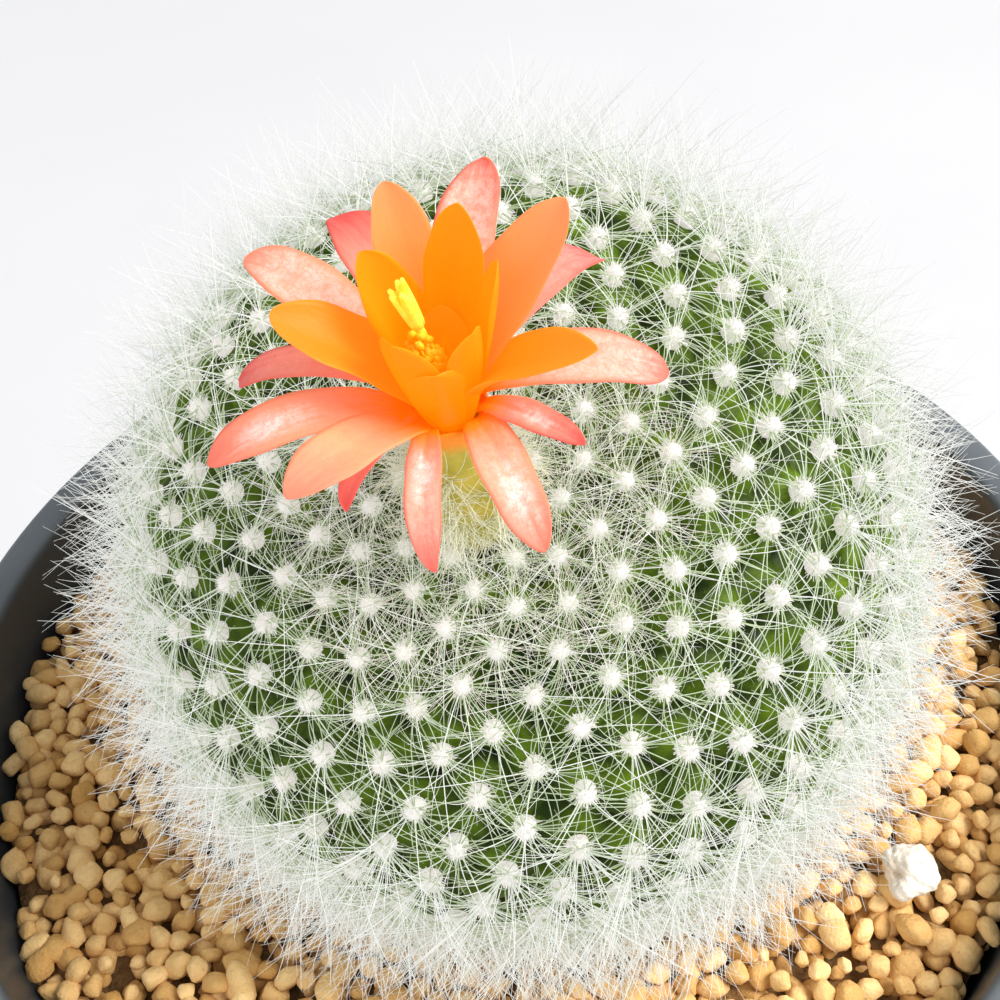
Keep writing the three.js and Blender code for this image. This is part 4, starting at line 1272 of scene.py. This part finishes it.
def hair_values(each, rings, seed, spread, lift, lengths, leans, thickness, tip, droop, sway, rise=0.0,
                lowest=-1000.0, youth_shrink=0.0):
    """The values of one coat of hairs: sizes in millimetres and leans in degrees."""
    return dict(each=each, rings=rings, seed=seed, foot_spread=spread * MM, foot_lift=lift * MM,
                shortest=lengths[0] * MM, longest=lengths[1] * MM, least_lean=math.radians(leans[0]),
                most_lean=math.radians(leans[1]), thickness=thickness * MM, tip_share=tip, droop=droop,
                sway=sway, rise=rise, lowest=lowest * MM, youth_shrink=youth_shrink)


def bands(sites, count):
    """The areoles split into equal runs from the tip down, so that no piece grows too heavy."""
    size = math.ceil(len(sites) / count)
    return [sites[i:i + size] for i in range(0, len(sites), size)]


def spine_coats(shown, frost, wool):
    """The coats of spines and wool: name, areoles, number of pieces, material and values of each."""
    # The glassy spines' green, deepest at their feet, is painted light: the skin's green seen through them.
    glass = hair_material("spine_glass", (0.46, 0.60, 0.30, 1), (0.76, 0.86, 0.62, 1), (0.62, 0.76, 0.47, 1),
                          shade=0.45, glow=0.29, Roughness=0.35, Specular_IOR_Level=0.5)
    cream = hair_material("crown_wool", (0.88, 0.82, 0.66, 1), (0.96, 0.94, 0.86, 1), (0.93, 0.86, 0.72, 1),
                          shade=0.5, glow=0.36, Roughness=0.6, Specular_IOR_Level=0.2)
    crown = [site for site in shown if site[1] < CROWN_WOOL]
    flank = [site for site in shown if site[1] > FLANK]
    skirt = [site for site in shown if (BALL_CENTRE + site[0] * BALL_RADIUS).z < SOIL_LEVEL + SKIRT_HEIGHT]
    return [
        ("spines_radial", shown, 3, glass, hair_values(
            each=18, rings=7, seed=100, spread=0.4, lift=0.3, lengths=(2.6, 4.7), leans=(50, 84),
            thickness=0.047, tip=0.3, droop=0.34, sway=0.8, lowest=HAIR_LOWEST, youth_shrink=0.45)),
        ("spines_central", shown, 1, frost, hair_values(
            each=4, rings=6, seed=200, spread=0.3, lift=0.4, lengths=(4.2, 7.4), leans=(20, 68),
            thickness=0.043, tip=0.25, droop=0.12, sway=0.4, rise=0.25, lowest=HAIR_LOWEST,
            youth_shrink=0.45)),
        ("spines_fine", shown, 2, frost, hair_values(
            each=4, rings=5, seed=250, spread=0.4, lift=0.4, lengths=(3.4, 6.0), leans=(8, 62),
            thickness=0.019, tip=0.4, droop=0.1, sway=0.6, rise=0.4, lowest=HAIR_LOWEST, youth_shrink=0.45)),
        ("areole_tufts", shown, 3, wool, hair_values(
            each=120, rings=2, seed=300, spread=0.12, lift=0.0, lengths=(0.68, 0.88), leans=(0, 100),
            thickness=0.038, tip=0.6, droop=0.0, sway=0.0, youth_shrink=0.6)),
        ("spines_flank", flank, 2, frost, hair_values(
            each=28, rings=5, seed=380, spread=0.45, lift=0.3, lengths=(3.0, 6.4), leans=(10, 80),
            thickness=0.029, tip=0.35, droop=0.12, sway=0.7, rise=0.25, lowest=HAIR_LOWEST)),
        ("spines_skirt", skirt, 1, cream, hair_values(
            each=32, rings=5, seed=420, spread=0.45, lift=0.3, lengths=(3.6, 7.6), leans=(10, 80),
            thickness=0.027, tip=0.35, droop=0.15, sway=0.9, lowest=HAIR_LOWEST)),
        ("crown_wool", crown, 1, cream, hair_values(
            each=36, rings=5, seed=350, spread=0.8, lift=0.2, lengths=(1.4, 3.6), leans=(10, 86),
            thickness=0.028, tip=0.4, droop=0.2, sway=1.0)),
    ]


def make_cactus(coat):
    """The ball: its skin and root, and the wool and spines of every areole that shows beside the flower."""
    everywhere = areole_sites()
    make_skin(everywhere)
    make_root()
    shown = []
    for site in everywhere:
        peak = areole_place(site)
        if peak.z > AREOLE_LOWEST and (peak - SEAT).length > BARE_SEAT:
            shown.append(site)
    frost = hair_material("spine_frost", (0.80, 0.84, 0.74, 1), (0.95, 0.96, 0.93, 1), (0.90, 0.92, 0.86, 1),
                          shade=0.38, glow=0.56, Roughness=0.4, Specular_IOR_Level=0.4)
    wool = hair_material("areole_wool", (0.93, 0.89, 0.83, 1), (0.96, 0.94, 0.90, 1), (0.95, 0.86, 0.76, 1),
                         shade=0.5, glow=0.46, Roughness=0.8, Specular_IOR_Level=0.1)
    pads = grown("areole_pads", areole_points("pad_points", shown), pad_tree(), width=PAD_WIDTH * MM,
                 height=PAD_HEIGHT * MM, youth_shrink=0.6, material=wool)
    dressed(pads, wool, "cactus_skin", "cactus")
    for name, sites, count, material, values in spine_coats(shown, frost, wool):
        for k, band in enumerate(bands(sites, count)):
            points = areole_points(f"{name}_points", band)
            made = grown(f"{name}_{k + 1}", points, coat, material=material, **values)
            dressed(made, material, "cactus_skin", "cactus")


# ---------------------------------------------------------------- flower, in its own frame, +Z along its axis

FLOWER_EAST, FLOWER_NORTH = across(FLOWER_AXIS)
UP = Vector((0, 0, 1))


def bloom_direction(way):
    """A direction of the flower's own frame, in the part's frame."""
    return FLOWER_EAST * way[0] + FLOWER_NORTH * way[1] + FLOWER_AXIS * way[2]


def in_bloom(point):
    """A point of the flower's own frame, in the part's frame."""
    return SEAT + FLOWER_EAST * point[0] + FLOWER_NORTH * point[1] + FLOWER_AXIS * point[2]


def bloom_object(name, points, faces, **attributes):
    """A closed piece of the flower, from points in the flower's own frame."""
    return outward_faces(mesh_object(name, [in_bloom(point) for point in points], faces, **attributes))


def make_tube(coat):
    """The flower's ribbed tube with the pale wool round its foot."""
    points, faces = loft([(0, radius, height) for radius, height in TUBE_PROFILE], 48)
    ribbed = []
    for x, y, z in points:
        turn = math.atan2(y, x)
        swell = 1 + 0.035 * math.cos(8 * turn + 0.5 * z) + 0.02 * math.sin(3 * turn + z)
        ribbed.append((x * swell, y * swell, z))
    highest = max(height for _, height in TUBE_PROFILE)
    along = [max(0.0, z / highest) for _, _, z in ribbed]
    tube = bloom_object("flower_tube_skin", ribbed, faces, along=along)
    dressed(tube, tube_skin(), "tube_green", "flower_tube")
    draw = np.random.default_rng(31)
    heights = [height for _, height in TUBE_OUTSIDE]
    radii = [radius for radius, _ in TUBE_OUTSIDE]
    places, toward = [], []
    for _ in range(TUBE_TUFTS):
        turn, height = draw.uniform(0, 2 * math.pi), draw.uniform(*TUBE_WOOL)
        reach = float(np.interp(height, heights, radii)) - 0.05
        places.append(in_bloom((reach * math.cos(turn), reach * math.sin(turn), height)))
        toward.append(bloom_direction((around(turn) + UP * 0.5).normalized()))
    points = hair_points("tube_hair_points", places, toward, youth=[0.0] * len(places))
    pale = hair_material("tube_wool", (0.70, 0.70, 0.36, 1), (0.90, 0.90, 0.74, 1), (0.80, 0.80, 0.52, 1),
                         shade=0.6, glow=0.25, Roughness=0.5)
    values = hair_values(each=6, rings=5, seed=400, spread=0.25, lift=0.0, lengths=(1.0, 3.0), leans=(5, 75),
                         thickness=0.022, tip=0.3, droop=0.15, sway=0.6)
    hairs = grown("flower_tube_hairs", points, coat, material=pale, **values)
    dressed(hairs, pale, "tube_green", "flower_tube")


def tepal_half_width(u):
    """Half width of a tepal as a share of its widest: a broad claw, a wide middle and a blunt point."""
    if u < TEPAL_WIDEST:
        return 0.62 + 0.38 * math.sin(math.pi * u / TEPAL_WIDEST / 2) ** 1.3
    return max(0.0, 1 - ((u - TEPAL_WIDEST) / (1 - TEPAL_WIDEST)) ** 3.0) ** 0.6


def tepal(number, shape, whorl, draw):
    """One petal-like blade that opens steadily from the whorl's lean to its own final opening."""
    stations, columns = 34, 12
    length, width = shape["length"], shape["width"]
    outward = around(math.radians(shape["azimuth"]))
    side = UP.cross(outward)
    lean = math.radians(whorl["lean"])
    opening = math.radians(shape["opening"]) - lean
    wave, wave_phase = draw.uniform(0.04, 0.11), draw.uniform(0, 2 * math.pi)
    twist = math.radians(draw.uniform(-9, 9))
    notch = draw.uniform(0, 2 * math.pi, 2)
    spine_point = outward * whorl["start"] + UP * whorl["base"]
    root = swept(UP, outward, lean) * -0.5
    points, along, blade, rims = [], [], [], []
    tops, bottoms = [], []
    last = 0.0
    for i in range(stations + 1):
        # The blade's middle line, and the way that its upper face looks here.
        u = math.sin(0.5 * math.pi * i / stations) ** 0.9
        middle = lean + opening * (u + last) / 2
        spine_point = spine_point + swept(UP, outward, middle) * (length * (u - last))
        last = u
        face = swept(-outward, UP, lean + opening * u)
        # The row across it: how wide it is, how far it lies aside, and how it is rolled.
        share = tepal_half_width(u)
        half = max(share, 0.02) * width / 2
        outer_share = share if u > TEPAL_WIDEST else 1.0
        slip = shape["shift"] * (1 - u) ** 1.5
        aside = slip + shape["skew"] * (1 - outer_share - u) * width / 2
        inward = math.sqrt(max(0.0, whorl["start"] ** 2 - slip ** 2)) - whorl["start"]
        row_centre = spine_point + side * aside + outward * inward + (root if i == 0 else Vector((0, 0, 0)))
        row_side = swept(side, face, twist * u)
        row_face = swept(face, -side, twist * u)
        top_row, bottom_row = [], []
        for k in range(columns + 1):
            v = 2 * k / columns - 1
            raised = whorl["cup"] * 2 * half * v * v
            ripple = wave * math.sin(7.5 * u + wave_phase + 1.5 * v) * abs(v) ** 3 * min(1, 2 * u)
            nibbled = 1 + 0.045 * u * math.sin(19 * u + notch[0 if v < 0 else 1]) * v * v
            groove = -0.05 * math.exp(-((v / 0.16) ** 2)) * math.sin(math.pi * min(1, u * 1.05))
            thick = (TEPAL_THICKNESS - TEPAL_THINNING * u) * (1 - 0.75 * v ** 4) * (1 - 0.6 * u ** 6)
            place = row_centre + row_side * (half * v * nibbled) + row_face * (raised + ripple + groove)
            for row, sign in ((top_row, 0.5), (bottom_row, -0.5)):
                row.append(len(points))
                points.append(place + row_face * (thick * sign))
                along.append(u)
                blade.append((half * v, length * u, 3.7 * number))
                rims.append(max(abs(v), u ** 6))
        tops.append(top_row)
        bottoms.append(bottom_row)
    faces = []
    for i in range(stations):
        for k in range(columns):
            faces.append((tops[i][k], tops[i][k + 1], tops[i + 1][k + 1], tops[i + 1][k]))
            faces.append((bottoms[i][k], bottoms[i + 1][k], bottoms[i + 1][k + 1], bottoms[i][k + 1]))
        faces.append((tops[i][0], tops[i + 1][0], bottoms[i + 1][0], bottoms[i][0]))
        faces.append((tops[i][columns], bottoms[i][columns], bottoms[i + 1][columns], tops[i + 1][columns]))
    for k in range(columns):
        faces.append((tops[0][k], bottoms[0][k], bottoms[0][k + 1], tops[0][k + 1]))
        faces.append((tops[-1][k], tops[-1][k + 1], bottoms[-1][k + 1], bottoms[-1][k]))
    attributes = {"along": along, "blade": blade, "rim": rims}
    for key in ("pink", "pale", "glint"):
        attributes[key] = [shape[key]] * len(points)
    return points, faces, attributes


def make_whorl(name, tepals, whorl, material, slot, node, seed):
    """One whorl of tepals as one piece."""
    draw = np.random.default_rng(seed)
    points, faces, attributes = joined([tepal(i, shape, whorl, draw) for i, shape in enumerate(tepals)])
    return dressed(bloom_object(name, points, faces, **attributes), material, slot, node)


def bent_rod(path, radii, sides):
    """A closed rod along a path of points, with a radius at each."""
    rings, points, faces = [], [], []
    for i, point in enumerate(path):
        ahead = path[min(i + 1, len(path) - 1)] - path[max(i - 1, 0)]
        first, second = across(ahead.normalized())
        ring = []
        for k in range(sides):
            ring.append(len(points))
            points.append(point + swept(first, second, 2 * math.pi * k / sides) * radii[i])
        rings.append(ring)
    for low, high in zip(rings, rings[1:]):
        for k in range(sides):
            n = (k + 1) % sides
            faces.append((low[k], low[n], high[n], high[k]))
    faces.append(tuple(reversed(rings[0])))
    faces.append(tuple(rings[-1]))
    return points, faces, {}


def grain_ball(centre, radii, axis, seed):
    """A small lumpy ellipsoid whose long axis follows a direction."""
    draw = np.random.default_rng(seed)
    phase = draw.uniform(0, 6, 3)
    work = bmesh.new()
    bmesh.ops.create_icosphere(work, subdivisions=2, radius=1.0)
    long_way = axis.normalized()
    first, second = across(long_way)
    points = []
    for vertex in work.verts:
        x, y, z = vertex.co
        lump = 1 + 0.10 * math.sin(5 * x + phase[0]) * math.sin(6 * y + phase[1])
        lump += 0.07 * math.sin(7 * z + phase[2])
        offset = first * x * radii[0] + second * y * radii[0] + long_way * z * radii[1]
        points.append(centre + offset * lump)
    faces = [tuple(v.index for v in face.verts) for face in work.faces]
    work.free()
    return points, faces, {}


def make_stamens():
    """A dense brush of filaments with lumpy anthers, leaning to the left and domed towards its middle."""
    draw = np.random.default_rng(43)
    steps = np.linspace(0, 1, 6)
    parts = []
    for i in range(STAMEN_COUNT):
        turn = i * GOLDEN
        share = math.sqrt((i + 0.5) / STAMEN_COUNT)
        foot = around(turn) * (0.35 + 0.4 * share)
        foot.z = STAMEN_FOOT
        reach = 0.12 + 0.66 * share
        top = STAMEN_TOP - 2.0 * share + draw.uniform(-0.3, 0.3)
        head = Vector((math.cos(turn) * reach - 0.5, math.sin(turn) * reach - 0.3, top))
        knee = Vector((foot.x * 1.1, foot.y * 1.1, STAMEN_KNEE))
        path = [foot * (1 - t) ** 2 + knee * (2 * t * (1 - t)) + head * t ** 2 for t in steps]
        parts.append(bent_rod(path, [0.075 - 0.025 * t for t in steps], 5))
        tilt = Vector((draw.uniform(-0.6, 0.6), draw.uniform(-0.6, 0.6), 1))
        parts.append(grain_ball(head, ANTHER_RADII, tilt, 500 + i))
    points, faces, _ = joined(parts)
    made = bloom_object("stamens", points, faces)
    material = pollen_material("pollen_orange", (1.0, 0.36, 0.0, 1), (1.0, 0.46, 0.0, 1))
    return dressed(made, material, "stamen_yellow", "flower_stamens")


def style_centre(height):
    """The middle of the style, which bends to the left and a little back above the stamens' feet."""
    rise = max(0.0, height - STYLE_BEND)
    return Vector((-0.02 * rise ** 2, 0.008 * rise ** 2, height))


def make_pistil():
    """A style under a tight bundle of slim stigma lobes."""
    heights = np.linspace(STYLE_FOOT, STYLE_TOP, 14)
    parts = [bent_rod([style_centre(height) for height in heights], [STYLE_RADIUS] * len(heights), 12)]
    for i in range(LOBE_COUNT):
        turn = 2 * math.pi * (i + 0.15) / LOBE_COUNT
        top = LOBE_TOP + 0.22 * math.cos(turn) + 0.08 * math.cos(2.3 * i)
        path, radii = [], []
        for t in np.linspace(0, 1, 10):
            spread = 0.12 + 0.10 * t + 0.13 * t ** 5
            path.append(style_centre(LOBE_FOOT + (top - LOBE_FOOT) * t) + around(turn) * spread)
            radii.append(0.15 + 0.05 * math.sin(math.pi * (0.1 + 0.7 * t)) - 0.11 * t ** 6)
        parts.append(bent_rod(path, radii, 10))
    points, faces, _ = joined(parts)
    made = bloom_object("stigma_and_style", points, faces)
    material = pollen_material("stigma_velvet", (0.97, 0.60, 0.01, 1), (0.98, 0.76, 0.08, 1))
    return dressed(made, material, "stigma_yellow", "flower_pistil")


def make_flower(coat):
    """The flower: tube, two whorls of tepals, stamens and pistil."""
    make_tube(coat)
    salmon = petal_material("petal_salmon", 0.85, 0.28, Turn=0.4,
                            Throat=(1.0, 0.25, 0.005, 1), Pale=(0.93, 0.55, 0.47, 1),
                            Middle=(0.96, 0.31, 0.14, 1), Pink_middle=(0.84, 0.235, 0.17, 1),
                            Tip=(0.90, 0.245, 0.15, 1), Pink_tip=(0.60, 0.078, 0.07, 1))
    orange = petal_material("petal_orange", 0.45, 0.75, Turn=0.55,
                            Throat=(0.94, 0.205, 0.0, 1), Pale=(0.92, 0.52, 0.36, 1),
                            Middle=(0.94, 0.25, 0.002, 1), Pink_middle=(0.92, 0.28, 0.07, 1),
                            Tip=(0.94, 0.255, 0.006, 1), Pink_tip=(0.90, 0.285, 0.13, 1))
    make_whorl("outer_tepals", OUTER_TEPALS, OUTER_WHORL, salmon, "tepal_salmon", "flower_outer_tepals", 71)
    make_whorl("inner_tepals", INNER_TEPALS, INNER_WHORL, orange, "tepal_orange", "flower_inner_tepals", 72)
    make_stamens()
    make_pistil()


# ---------------------------------------------------------------- the whole picture

make_camera()
make_studio()
make_pot()
make_bed()
make_granules()
make_crumb()
hair_coat = hair_tree()
make_cactus(hair_coat)
make_flower(hair_coat)
